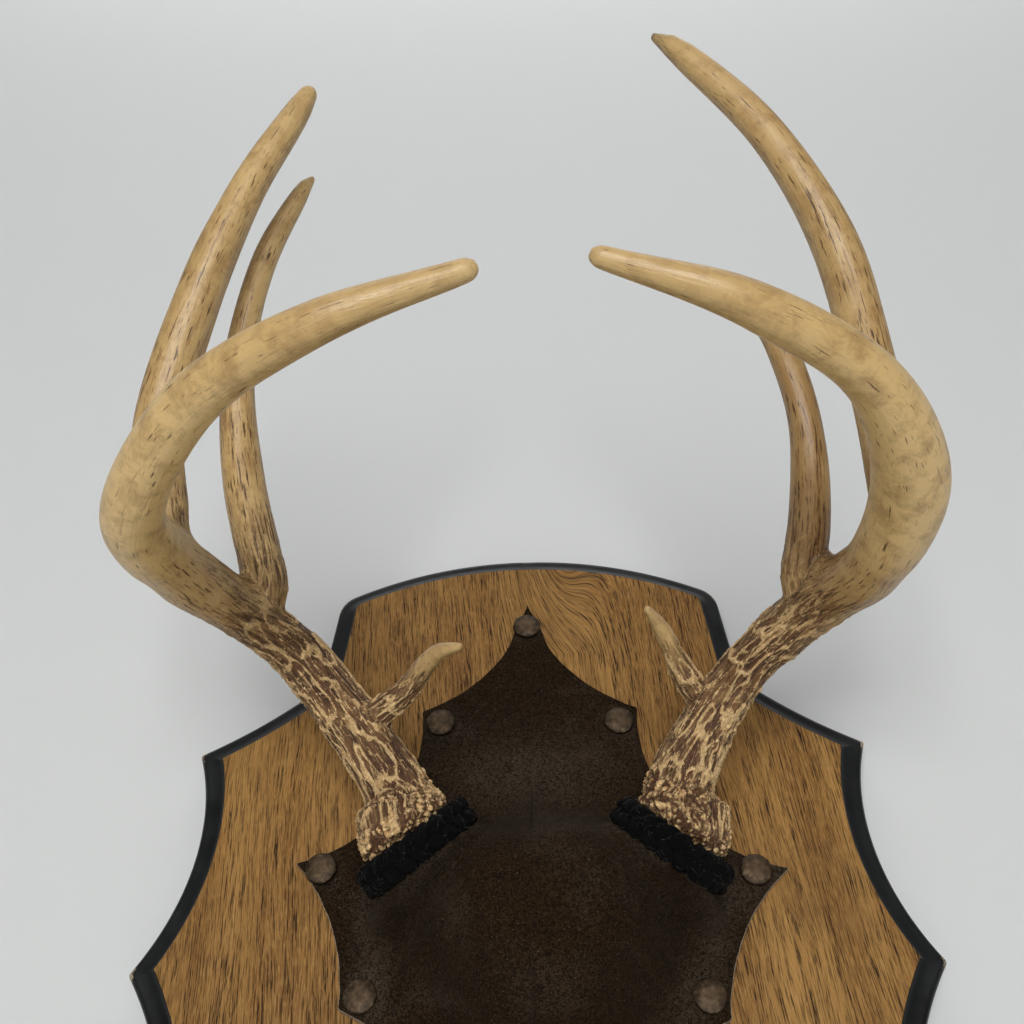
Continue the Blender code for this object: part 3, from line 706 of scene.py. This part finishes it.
def skull_rise(x, z):
    """How far the skull cap lifts the suede at x, z."""
    middle = (BURR_LEFT[0] + BURR_RIGHT[0]) / 2.0
    down = smooth_step(-z / 0.04)
    reach = SKULL_REACH - SKULL_TAPER * down
    length = np.where(z > SKULL_CREST, SKULL_UP, SKULL_DOWN)
    across, up = np.abs((x - middle) / reach), np.abs((z - SKULL_CREST) / length)
    return SKULL_RISE * smooth_step(1.0 - (across**SKULL_FULLNESS + up**SKULL_FULLNESS)) ** 0.8


def raised_to_seats(rise, x, z):
    """The same rise, but level with the seats of the two braids where they are."""
    for side in (-1, 1):
        _, axis = burr_frame(side)
        seat = braid_centre(side) - axis * BRAID_THICKNESS / 2.0
        across = axis[0] * (x - seat[0]) + axis[2] * (z - seat[2])
        plane = seat[1] - across / axis[1]
        distance = np.sqrt((x - seat[0]) ** 2 + (plane - seat[1]) ** 2 + (z - seat[2]) ** 2)
        near = smooth_step((1.6 * BRAID_RADIUS - distance) / (0.6 * BRAID_RADIUS))
        target = np.clip(FACE - plane, 0.0, SKULL_RISE)
        rise = rise + (target - rise) * near
    return rise


def relax(values, mesh, weight, times):
    """Moves the value at each point toward the mean of its neighbours, by its weight, so many times."""
    edges = np.empty(len(mesh.edges) * 2, np.int32)
    mesh.edges.foreach_get("vertices", edges)
    first, second = edges.reshape(-1, 2).T
    count = len(values)
    degree = np.maximum(np.bincount(first, minlength=count) + np.bincount(second, minlength=count), 1)
    columns = [column.copy() for column in values.reshape(count, -1).T]
    for _ in range(times):
        for column in columns:
            total = np.bincount(first, column[second], count) + np.bincount(second, column[first], count)
            column += weight * (total / degree - column)
    return np.stack(columns, axis=1).reshape(values.shape)


def make_suede():
    keys = suede_outline()
    back = FACE - SEAT_GAP
    rim = outline_points(keys, step_counts(keys, 0.0022))
    ragged = wander(np.stack([rim[:, 0], rim[:, 1], np.zeros(len(rim))], axis=1), 0.004, 5)
    rim = rim - unit(rim) * (0.00022 * ragged)[:, None]
    # The top tip is cut a little fuller, so that it reaches round its nail
    below = keys[0][1] - rim[:, 1]
    fuller = np.exp(-(((below - 0.014) / 0.009) ** 2)) * smooth_step(below / 0.005)
    rim[:, 0] += 0.002 * np.sign(rim[:, 0] - keys[0][0]) * fuller
    rings = []
    rings.append(flat_ring(rim, back))
    shares = np.concatenate([[1.0, 0.9985, 0.996, 0.99], np.arange(0.98, 0.012, -0.0135)])
    for share in shares:
        depth = SUEDE_THICKNESS if share < 1.0 else SUEDE_THICKNESS * 0.72
        rings.append(flat_ring(rim * share, back - depth))
    mesh = rings_mesh("suede", rings, (0.0, back - SUEDE_THICKNESS, 0.0))
    points = points_of(mesh)
    count = len(rim)
    level = np.minimum(np.arange(len(points)) // count, len(rings))
    top = level > 0
    x, z = points[:, 0], points[:, 2]
    mesh.update(calc_edges=True)
    plain = np.stack([x, np.zeros_like(x), z], axis=1)
    puckers = wander(plain, 0.021, 3) * 0.0006 + wander(plain, 0.009, 4) * 0.00022
    inner = smooth_step((1.0 - shares[np.clip(level - 1, 0, len(shares) - 1)]) / 0.06)
    rise = raised_to_seats(relax(skull_rise(x, z), mesh, inner * (level > 3), 60), x, z)
    folds = wander(plain * (1.0, 1.0, 0.35), 0.012, 8) * 0.0016 * np.exp(-(((rise - 0.006) / 0.007) ** 2))
    lift = rise + (puckers + folds) * inner
    # Where the nap is lighter: real rubbing round the nails and cords, and painted sheen and highlight on the
    # folds and across the top of the skull cap
    rubbed_and_sheen = np.zeros(len(points))
    for nx, nz in nail_places().values():
        gap = np.hypot(x - nx, z - nz)
        lift = np.where(gap < NAIL_RADIUS * 1.02, np.minimum(lift, 0.0), lift)
        rubbed_and_sheen += 0.25 * np.exp(-(((gap - 0.0085) / 0.0022) ** 2))
    # Two soft folds run down from the ears where the hide leaves the skull, with a painted highlight along them
    for (ax, az), (bx, bz) in (((0.08, 0.004), (0.056, -0.044)), ((-0.066, 0.002), (-0.06, -0.046))):
        t = np.clip(((x - ax) * (bx - ax) + (z - az) * (bz - az)) / ((bx - ax) ** 2 + (bz - az) ** 2), 0, 1)
        gap = np.hypot(x - ax - t * (bx - ax), z - az - t * (bz - az))
        lift += 0.001 * np.exp(-((gap / 0.004) ** 2))
        rubbed_and_sheen += 0.55 * np.exp(-((gap / 0.007) ** 2))
    points[top, 1] -= lift[top]
    # Keeps the hide under the cords that press on it
    for side in (-1, 1):
        _, axis = burr_frame(side)
        centre = braid_centre(side)
        for _ in range(2):
            offset = points - centre
            height = offset @ axis
            radial = offset - height[:, None] * axis
            reach = norm(radial, axis=1)
            outside = 1.0 - BRAID_RADIUS / np.maximum(reach, 1e-6)
            to_cord = radial * outside[:, None] + height[:, None] * axis
            gap = norm(to_cord, axis=1)
            room = BRAID_THICKNESS / 2.0 * 0.95
            low = (height < 0.002) & top
            push = np.where((gap < room) & low, room - gap, 0.0)
            points[:, 1] += push / 0.6
            points[top, 1] = np.minimum(points[top, 1], back - 0.0004)
        ring_gap = np.abs(gap - BRAID_THICKNESS / 2.0)
        rubbed_and_sheen += 0.35 * np.exp(-((ring_gap / 0.006) ** 2)) * (x * side < 0.05)
    # Painted sheen: a lighter band across the top of the skull cap
    rubbed_and_sheen += 0.75 * np.exp(-(((z - 0.056) / 0.02) ** 2) - ((x / 0.036) ** 2))
    move_points(mesh, points)
    store(mesh, "rubbed_and_sheen", np.clip(rubbed_and_sheen, 0.0, 1.0) * inner)
    # The cut edge is darker towards the top
    store(mesh, "darker_above", smooth_step((z - 0.005) / 0.03))
    for face in mesh.polygons:
        face.material_index = 1 if min(face.vertices) < 3 * count else 0
    close_mesh(mesh, count)
    return piece("suede_hide", mesh, [suede_material(), hide_edge_material()], "suede_cover", 60)


def make_nails():
    material = bronze_material()
    rings, around = 16, 56
    for seed, (name, (x, z)) in enumerate(nail_places().items()):
        random = np.random.default_rng(40 + seed)
        radii = NAIL_RADIUS * np.sin(np.linspace(1.0, 0.05, rings) * math.pi / 2.0)
        angles = np.linspace(0, 2 * math.pi, around, endpoint=False)
        turn, reach = np.meshgrid(angles, radii)
        px, pz = reach * np.cos(turn), reach * np.sin(turn)
        fall = np.clip(1.0 - (reach / NAIL_RADIUS) ** 2.6, 0.0, 1.0)
        dome = NAIL_RIM + (NAIL_RISE - NAIL_RIM) * np.sqrt(fall)
        # Hammered facets: a ring of them leans outward, and one is almost level on top
        height = dome + 0.0002
        facets = 10
        for i in range(facets):
            at = 2 * math.pi * (i + random.uniform(-0.2, 0.2)) / facets
            lean = random.uniform(0.3, 0.44)
            top = NAIL_RISE * random.uniform(0.96, 1.03) + lean * NAIL_RADIUS * random.uniform(0.36, 0.48)
            height = np.minimum(height, top - lean * (px * math.cos(at) + pz * math.sin(at)))
        at, lean = random.uniform(0, 6.28), random.uniform(0.02, 0.06)
        height = np.minimum(height, NAIL_RISE * 0.98 - lean * (px * math.cos(at) + pz * math.sin(at)))
        height = np.maximum(height, NAIL_RIM)
        grid = np.stack([px, -height, pz], axis=2)
        foot = grid[0].copy()
        foot[:, 1] = 0.0
        lower = grid[0].copy()
        lower[:, 1] = -NAIL_RIM * 0.8
        layers = [foot, lower] + [grid[i] for i in range(rings)]
        middle = (0.0, -float(height[-1].mean()), 0.0)
        mesh = rings_mesh(name, layers, middle)
        close_mesh(mesh, around)
        high = (-points_of(mesh)[:, 1] - NAIL_RIM) / (NAIL_RISE - NAIL_RIM)
        store(mesh, "high", np.clip(high, 0, 1))
        mesh.transform(Matrix.Translation((x, FACE - SUEDE_THICKNESS - 2 * SEAT_GAP, z)))
        piece(f"{name}_head", mesh, [material], name, 24)


def add_fibres(mesh, count, seed):
    """Short loose fibres that stand off the cord."""
    random = np.random.default_rng(seed)
    points = points_of(mesh)
    normals = normals_of(mesh)
    chosen = random.choice(len(points), count, replace=False)
    shape = bmesh.new()
    shape.from_mesh(mesh)
    loose = shape.verts.layers.float["loose"]
    for start, out in zip(points[chosen], normals[chosen]):
        across = unit(np.cross(out, random.normal(size=3)))
        length, bow = random.uniform(0.0015, 0.0045), random.uniform(0.0002, 0.0009)
        side_way = np.cross(out, across)
        rings = []
        for t in (0.0, 0.35, 0.7, 1.0):
            rise = -0.0002 + bow * math.sin(math.pi * min(t * 1.15, 1.0)) * 1.2
            sway = bow * 0.5 * math.sin(5 * t)
            middle = start + across * (length * (t - 0.5)) + out * rise + side_way * sway
            width = 0.00006 * (1.0 - 0.5 * t)
            ways = [(math.cos(a) * out + math.sin(a) * side_way) * width for a in (0.0, 2.094, 4.189)]
            rings.append([shape.verts.new(middle + way) for way in ways])
        for first, second in zip(rings, rings[1:]):
            for i in range(3):
                shape.faces.new((first[i], first[(i + 1) % 3], second[(i + 1) % 3], second[i]))
        shape.faces.new(rings[0][::-1])
        shape.faces.new(rings[-1])
        for ring in rings:
            for vertex in ring:
                vertex[loose] = 1.0
    shape.to_mesh(mesh)
    shape.free()


def make_braid(side, name, material):
    """Three strands plaited round the pedicle. They are one closed loop that goes three times round."""
    centre = braid_centre(side)
    _, axis = burr_frame(side)
    first = unit(np.cross(axis, (0.0, 1.0, 0.0)))
    second = np.cross(axis, first)
    steps, across, crossings = 1150, 24, 22 / 3
    angle = np.linspace(0, 6 * math.pi, steps, endpoint=False)
    phase = crossings * angle
    flat = BRAID_THICKNESS / 2.0
    along_axis = flat * 0.58 * np.sin(phase)
    outward = BRAID_RADIUS + flat * 0.42 * np.sin(2.0 * phase)
    line = np.stack([outward * np.cos(angle), outward * np.sin(angle), along_axis], axis=1)
    way = unit(np.roll(line, -1, axis=0) - np.roll(line, 1, axis=0))
    up = np.stack([np.cos(angle), np.sin(angle), 0 * angle], axis=1)
    up = unit(up - (up * way).sum(axis=1)[:, None] * way)
    other = np.cross(way, up)
    turns = np.linspace(0, 2 * math.pi, across, endpoint=False)
    travelled = np.concatenate([[0], np.cumsum(norm(np.diff(line, axis=0), axis=1))])
    laps = round(travelled[-1] / STRAND_LAY)
    rings = []
    for i in range(steps):
        twist = 2 * math.pi * laps * i / steps
        uneven = 1 + 0.05 * math.sin(i * 1.7) * math.sin(i * 0.37)
        radius = STRAND_RADIUS * (1.0 + 0.11 * np.cos(5.0 * turns + twist)) * uneven
        ways = np.cos(turns)[:, None] * up[i] + np.sin(turns)[:, None] * other[i]
        rings.append(line[i] + radius[:, None] * ways)
    mesh = rings_mesh(name, rings + [rings[0]])
    close_mesh(mesh, weld=1e-7)
    local = points_of(mesh)
    world = centre + local[:, :1] * first + local[:, 1:2] * second + local[:, 2:] * axis
    world += wander_arrows(local, 0.0013, 11) * 0.00034
    move_points(mesh, world)
    store(mesh, "loose", np.zeros(len(world)))
    add_fibres(mesh, FIBRES, 60 + side)
    return piece(f"cord_{name}", mesh, [material], f"braid_{name}")


def smooth_line(points, spacing):
    """Points about this far apart on the smooth curve through the given ones, radii included."""
    points = np.array(points, float)
    padded = np.vstack([2 * points[0] - points[1], points, 2 * points[-1] - points[-2]])
    result = []
    for p0, p1, p2, p3 in zip(padded, padded[1:], padded[2:], padded[3:]):
        steps = max(2, round(float(norm(p2[:3] - p1[:3])) / spacing))
        for t in np.arange(steps) / steps:
            bend = (2 * p0 - 5 * p1 + 4 * p2 - p3) * t**2 + (3 * p1 - p0 - 3 * p2 + p3) * t**3
            result.append(p1 + ((p2 - p0) * t + bend) / 2.0)
    result.append(points[-1])
    return np.array(result)


def round_tip(line):
    """The same line with a few more points, which round the branch's end."""
    tip, way = line[-1], line[-1, :3] - line[-2, :3]
    way /= norm(way)
    angles = (0.4, 0.8, 1.15, 1.4)
    ends = [(*(tip[:3] + way * tip[3] * math.sin(angle)), tip[3] * math.cos(angle)) for angle in angles]
    return np.vstack([line, ends])


def finished_mesh(obj):
    """The object's mesh with its modifiers or its bevel applied. The object is removed."""
    mesh = bpy.data.meshes.new_from_object(obj.evaluated_get(bpy.context.evaluated_depsgraph_get()))
    bpy.data.objects.remove(obj, do_unlink=True)
    return mesh


def tube_mesh(name, line):
    curve = bpy.data.curves.new(name, "CURVE")
    curve.dimensions = "3D"
    curve.bevel_depth = 1.0
    curve.bevel_resolution = 8
    curve.use_fill_caps = True
    spline = curve.splines.new("POLY")
    spline.points.add(len(line) - 1)
    for point, (x, y, z, radius) in zip(spline.points, line):
        point.co = (x, y, z, 1.0)
        point.radius = radius
    obj = placed(name, curve)
    return finished_mesh(obj)


class Branch:
    """The centre line of a branch, and where points of the antler lie along and around it."""

    def __init__(self, line):
        self.line, self.radii = line[:, :3], line[:, 3]
        steps = norm(np.diff(self.line, axis=0), axis=1)
        self.travelled = np.concatenate([[0.0], np.cumsum(steps)])
        ways = unit(np.gradient(self.line, axis=0))
        side = unit(np.cross(ways[0], (0.3, 0.9, 0.2)))
        sides = []
        for way in ways:
            side = unit(side - (side @ way) * way)
            sides.append(side)
        self.sides = np.array(sides)
        self.others = np.cross(ways, self.sides)

    def locate(self, points):
        """For each point: distance over radius, travel, share of the line's length, place across, radius."""
        gaps = norm(points[:, None, :] - self.line[None], axis=2)
        nearest = gaps.argmin(axis=1)
        best = np.full(len(points), 1e9)
        start = np.zeros(len(points), int)
        share = np.zeros(len(points))
        for first in (np.clip(nearest - 1, 0, len(self.line) - 2), np.clip(nearest, 0, len(self.line) - 2)):
            a, b = self.line[first], self.line[first + 1]
            t = np.clip(((points - a) * (b - a)).sum(axis=1) / ((b - a) ** 2).sum(axis=1), 0.0, 1.0)
            gap = norm(points - a - t[:, None] * (b - a), axis=1)
            closer = gap < best
            best = np.where(closer, gap, best)
            start = np.where(closer, first, start)
            share = np.where(closer, t, share)

        def at(values):
            t = share if values.ndim == 1 else share[:, None]
            return values[start] * (1 - t) + values[start + 1] * t

        offset = points - at(self.line)
        travel = at(self.travelled)
        place = np.stack([(offset * at(ways)).sum(axis=1) for ways in (self.sides, self.others)], axis=1)
        radius = np.maximum(at(self.radii), 0.0006)
        return best / radius, travel, travel / self.travelled[-1], place, radius


# Where each branch stops being rough, over how much of its length that fades, and how rough it is
ROUGH = {
    "beam": (0.46, 0.24, 1.0),
    "brow": (0.8, 0.45, 0.95),
    "second": (0.36, 0.34, 0.5),
    "third": (0.26, 0.26, 0.4),
}
# How dark with age each tine is, and the beam between its rough stretch and its bow; the right antler's second
# and third tines are darkened further with painted shade
AGED_AND_SHADED = {
    "left": {"beam": 0.45, "brow": 0.25, "second": 0.1, "third": 0.12},
    "right": {"beam": 0.45, "brow": 0.15, "second": 0.9, "third": 0.34},
}
# The same for the dark lines, which never quite end: that last number is what is left of them
LINED = {
    "beam": (0.58, 0.22, 1.0, 0.1),
    "brow": (0.9, 0.6, 1.0, 0.2),
    "second": (0.8, 0.8, 1.0, 0.4),
    "third": (0.8, 0.8, 0.9, 0.35),
}


def rooted(line, beam):
    """The line of a tine with its first stretch drawn into the middle of the beam."""
    core = beam[np.argmin(norm(beam[:, :3] - line[0, :3], axis=1))]
    along = norm(line[:, :3] - line[0, :3], axis=1)
    pull = 1.0 - smooth_step(along / (1.6 * core[3]))
    line[:, :3] += (core[:3] - line[0, :3]) * pull[:, None]
    line[:, 3] *= 1.0 - 0.28 * pull
    return line


def antler_lines(name, side, middle):
    lines = {}
    for branch, points in ANTLERS[name].items():
        line = round_tip(smooth_line(np.array(points) * BEAM_LENGTH / 100.0, 0.004))
        line[:, 0] *= side
        line[:, :3] += middle
        lines[branch] = line if branch == "beam" else rooted(line, lines["beam"])
    return lines


def one_skin(name, lines):
    """One closed mesh round all the lines."""
    shape = bmesh.new()
    for line in lines:
        tube = tube_mesh(name, line)
        shape.from_mesh(tube)
        bpy.data.meshes.remove(tube)
    bmesh.ops.remove_doubles(shape, verts=shape.verts, dist=1e-6)
    bmesh.ops.recalc_face_normals(shape, faces=shape.faces)
    mesh = bpy.data.meshes.new(name)
    shape.to_mesh(mesh)
    shape.free()
    obj = placed(name, mesh)
    remesh = obj.modifiers.new("one_skin", "REMESH")
    remesh.mode = "VOXEL"
    remesh.voxel_size = VOXEL
    soften = obj.modifiers.new("soften", "SMOOTH")
    soften.iterations = 11
    return finished_mesh(obj)


def owned(found):
    """How far out each point is from each branch, in radii, and how much each branch owns it."""
    ratios = np.stack([spot[0] for spot in found], axis=1)
    weights = np.exp(-9.0 * (ratios - ratios.min(axis=1)[:, None]))
    return ratios, weights / weights.sum(axis=1)[:, None]


def roughness_of(branch, share):
    end, fade, strength = ROUGH[branch]
    return strength * smooth_step((end - share) / fade)


def refine_rough(mesh, branches):
    """Splits the faces of the rough stretches in four, so that their ridges have enough points."""
    points = points_of(mesh)
    found = [branch.locate(points) for branch in branches.values()]
    _, weights = owned(found)
    zone = sum(weights[:, i] * roughness_of(name, found[i][2]) for i, name in enumerate(branches))
    with edited(mesh) as shape:
        picked = {face for face in shape.faces if min(zone[vertex.index] for vertex in face.verts) > 0.35}
        edges = list({edge for face in picked for edge in face.edges})
        bmesh.ops.subdivide_edges(shape, edges=edges, cuts=1, use_grid_fill=True)
        axes = {"use_axis_x": True, "use_axis_y": True, "use_axis_z": True}
        bmesh.ops.smooth_vert(shape, verts=shape.verts, factor=0.5, **axes)
    mesh.update()


def fill_creases(mesh, branches):
    """Lets each branch flow out of the one it grows from."""
    points = points_of(mesh)
    normals = normals_of(mesh)
    spots = [branch.locate(points) for branch in branches.values()]
    ratios = np.stack([spot[0] + 2.0 * (spot[2] < 0.01) for spot in spots], axis=1)
    second = np.sort(ratios, axis=1)[:, 1]
    weight = smooth_step((2.1 - second) / 0.8)
    moved = relax(points, mesh, weight, 60) - points
    outward = (moved * normals).sum(axis=1) > 0.0
    points[outward] += moved[outward]
    for name, branch in branches.items():
        if name != "beam":
            gap = norm(points - branch.line[0], axis=1) / branch.radii[0]
            points = relax(points, mesh, smooth_step((2.4 - gap) / 0.9), 45)
    points = relax(points, mesh, 0.5 * weight, 4)
    move_points(mesh, points)


def bark_of(local, seed):
    """Ridges that run along a branch, from 0 to 1: wide ones and narrow ones."""
    warp = wander_arrows(local, 0.007, seed + 21) * (0.0014, 0.0014, 0.004)
    bent = (local + warp) * (1.0, 1.0, 0.17)
    wide = smooth_step(1.0 - np.abs(wander(bent, 0.0027, seed + 31)) / 0.24)
    narrow = smooth_step(1.0 - np.abs(wander(bent * (1.0, 1.0, 1.5), 0.0016, seed + 41)) / 0.26)
    return wide, narrow


def make_antler(name, material):
    side = 1 if name == "right" else -1
    seed = 100 if side > 0 else 0
    middle, axis = burr_frame(side)
    lines = antler_lines(name, side, middle)
    branches = {branch: Branch(line) for branch, line in lines.items()}
    root = [(-PEDICLE_LENGTH, PEDICLE_RADIUS), (-SEAT_GAP, PEDICLE_RADIUS), (SEAT_GAP, BURR_RADIUS * 0.93)]
    for along, radius in ((0.2, 1.0), (0.5, 0.95), (1.0, 0.78), (1.5, 0.62)):
        root.append((along * BURR_HEIGHT, radius * BURR_RADIUS))
    stem = np.array([(*(middle + axis * along), radius) for along, radius in root])
    mesh = one_skin(f"antler_{name}", [*lines.values(), stem])
    fill_creases(mesh, branches)
    refine_rough(mesh, branches)
    points = points_of(mesh)
    normals = normals_of(mesh)
    found = [branch.locate(points) for branch in branches.values()]
    ratios, weights = owned(found)
    owner = weights.argmax(axis=1)

    # Gives the thin ends back what the smoothing took
    radius = np.stack([spot[4] for spot in found], axis=1)[np.arange(len(points)), ratios.argmin(axis=1)]
    shrunk = np.clip(1.0 - ratios.min(axis=1), 0.0, 0.5) * radius
    points += normals * (shrunk * smooth_step((0.012 - radius) / 0.003))[:, None]

    height, rough, ridge, along, lined, aged_and_shaded, polish_and_highlight = (np.zeros(len(points)) for _ in range(7))
    grain = np.zeros((len(points), 3))
    for index, branch in enumerate(branches):
        _, travel, share, place, _ = found[index]
        local = np.stack([place[:, 0], place[:, 1], travel], axis=1) + index * 0.37
        zone = roughness_of(branch, share)
        wide, narrow = bark_of(local, seed)
        lines_cut = wander(local * (1.0, 1.0, 0.12), 0.0022, seed + 61)
        waves = wander(local * (1.0, 1.0, 0.5), 0.016, seed + 51)
        relief = zone * (0.00095 * (wide - 0.4) + 0.00045 * (narrow - 0.4))
        relief += (1.0 - zone) * 0.0001 * lines_cut
        height += weights[:, index] * (relief + 0.0004 * waves)
        rough += weights[:, index] * zone
        ridge += weights[:, index] * np.clip(0.85 * wide + 0.55 * narrow, 0.0, 1.0)
        end, fade, most, least = LINED[branch]
        lined += weights[:, index] * (least + (most - least) * smooth_step((end - share) / fade))
        fading = smooth_step((0.52 - share) / 0.12) if branch == "beam" else 1.0 - 0.35 * share
        aged_and_shaded += weights[:, index] * AGED_AND_SHADED[name][branch] * fading
        # The bow's lightening: partly real polish, partly a painted highlight
        if branch == "beam":
            bow = smooth_step((share - 0.46) / 0.1) * smooth_step((0.92 - share) / 0.25)
            polish_and_highlight = 0.62 * weights[:, index] * bow
        mine = owner == index
        along[mine], grain[mine] = share[mine], local[mine]

    # The burr: small pearls on its rim, longer lumps above them that run out into the ridges
    lift = (points - middle) @ axis
    radial = points - middle - lift[:, None] * axis
    reach = norm(radial, axis=1)
    pearl = smooth_step((0.021 - lift + 0.01 * wander(points, 0.008, seed + 71)) / 0.015)
    pearl *= smooth_step((lift + 0.0006) / 0.001)
    pearl *= smooth_step((1.7 * BURR_RADIUS - reach) / (0.2 * BURR_RADIUS))
    rim = smooth_step((0.0075 - lift + 0.003 * wander(points, 0.006, seed + 72)) / 0.004)
    shake = 0.0017 * wander_arrows(points, 0.0042, seed)
    beads, tone = cobbles(points + shake, 0.0027, seed + 81)
    crust = radial + shake + 0.45 * lift[:, None] * axis
    lumps = smooth_step(np.abs(wander(crust, 0.0025, seed + 91)) / 0.4)
    grit = smooth_step(np.abs(wander(crust, 0.0014, seed + 92)) / 0.45)
    wide_on_burr = smooth_step(1.0 - np.abs(wander(crust * (1.0, 1.0, 0.6), 0.0034, seed + 93)) / 0.28)
    rubble = 0.6 * lumps * grit + 0.35 * wide_on_burr + 0.15 * grit
    knobs = rim * beads * (0.4 + 0.6 * tone) + (1.0 - rim) * rubble
    height = height * (1.0 - 0.35 * pearl)
    height += pearl * (0.0021 * (knobs - 0.35) + 0.0014 * rim * wander(points, 0.006, seed + 73))
    hidden = smooth_step(-lift / 0.0015)
    height *= 1.0 - hidden * smooth_step((1.1 * PEDICLE_RADIUS - reach) / (0.1 * PEDICLE_RADIUS))
    points += normals * height[:, None]
    move_points(mesh, points)

    ridge = ridge * (1.0 - pearl) + np.clip(1.05 * knobs + 0.25 * ridge, 0.0, 1.0) * pearl
    soot = np.zeros(len(points))
    if side > 0:
        tip = lines["third"][-1, :3]
        soot = 0.7 * smooth_step((0.012 - norm(points - tip, axis=1)) / 0.009)
        soot *= np.clip(0.6 + 0.9 * wander(points, 0.003, 3), 0, 1)
    stored = {"rough": rough, "ridge": ridge, "pearl": pearl, "along": along}
    stored |= {"lined": lined, "aged_and_shaded": aged_and_shaded, "polish_and_highlight": polish_and_highlight, "soot": soot}
    for key, values in stored.items():
        store(mesh, key, values)
    vector = mesh.attributes.new("grain", "FLOAT_VECTOR", "POINT")
    vector.data.foreach_set("vector", grain.astype(np.float32).ravel())
    return piece(f"antler_{name}_bone", mesh, [material], f"antler_{name}")


# Stage, light and camera

def stage_material(name, colour, one_sided):
    s = Shader(name)
    s.finish(colour, 0.9, Specular_IOR_Level=0.1)
    if one_sided:
        clear = s.node("ShaderNodeBsdfTransparent")
        facing = s.node("ShaderNodeNewGeometry").outputs["Backfacing"]
        mixed = s.node("ShaderNodeMixShader", {0: facing, 1: s.surface.outputs[0], 2: clear.outputs[0]})
        s.tree.links.new(mixed.outputs[0], s.tree.nodes["Material Output"].inputs["Surface"])
    return s.material


def sheet(name, corners, material):
    mesh = bpy.data.meshes.new(name)
    mesh.from_pydata(corners, [], [(0, 1, 2, 3)])
    mesh.materials.append(material)
    placed(name, mesh)


def make_stage():
    # The wall is a hair in front of the plaque's back, which would otherwise lie in its shadow
    wall_y, floor_z, half = -0.0004, -0.75, 4.0
    wall = stage_material("wall_paint", (0.71, 0.72, 0.71), True)
    floor = stage_material("floor_paint", (0.8, 0.81, 0.8), False)
    upright = ((-half, floor_z), (half, floor_z), (half, half), (-half, half))
    sheet("wall", [(x, wall_y, z) for x, z in upright], wall)
    level = ((-half, -half), (half, -half), (half, half), (-half, half))
    sheet("floor", [(x, y, floor_z) for x, y in level], floor)


def area_light(name, place, target, size, power):
    light = bpy.data.lights.new(name, "AREA")
    light.shape = "RECTANGLE"
    light.size, light.size_y = size
    light.energy = power
    obj = placed(name, light)
    obj.location = place
    obj.rotation_euler = (Vector(target) - Vector(place)).to_track_quat("-Z", "Y").to_euler()


def make_light():
    world = bpy.data.worlds.new("room")
    world.use_nodes = True
    background = world.node_tree.nodes["Background"]
    background.inputs["Color"].default_value = (0.93, 0.95, 1.0, 1.0)
    background.inputs["Strength"].default_value = 0.16
    bpy.context.scene.world = world
    area_light("window", (-0.1, -2.0, -0.42), (0.0, -0.1, 0.1), (1.1, 0.6), 26.0)
    area_light("wall_wash", (0.0, -0.45, 1.35), (0.0, 0.0, 0.75), (1.6, 0.25), 4.2)
    area_light("back_fill", (0.5, 2.6, 0.8), (0.0, 0.0, 0.1), (1.2, 1.2), 26.0)


def spun(first, second, angle):
    """Two arrows at right angles, spun by the angle from the first toward the second."""
    cos, sin = math.cos(angle), math.sin(angle)
    return cos * first + sin * second, -sin * first + cos * second


def make_camera():
    pitch, yaw, roll = 0.829957, -0.0207139, -0.0255097
    forward = np.array([0.0, math.sin(pitch), math.cos(pitch)])
    up = np.array([0.0, -math.cos(pitch), math.sin(pitch)])
    right = np.array([1.0, 0.0, 0.0])
    right, forward = spun(right, forward, -yaw)
    right, up = spun(right, up, roll)
    data = bpy.data.cameras.new("photo_view")
    data.sensor_width = 36.0
    data.lens = 36.0 * 1075.0 / 1024.0
    data.clip_start = 0.01
    camera = placed("photo_view", data)
    rotation = Matrix([[right[i], up[i], -forward[i]] for i in range(3)])
    camera.matrix_world = Matrix.Translation((0.004416, -0.442954, -0.173555)) @ rotation.to_4x4()
    bpy.context.scene.camera = camera


bpy.context.scene.view_settings.view_transform = "Standard"
make_camera()
make_light()
make_stage()
make_plaque()
make_suede()
make_nails()
bone = antler_material()
cord = cord_material()
for side, name in ((-1, "left"), (1, "right")):
    make_antler(name, bone)
    make_braid(side, name, cord)
bpy.context.view_layer.update()
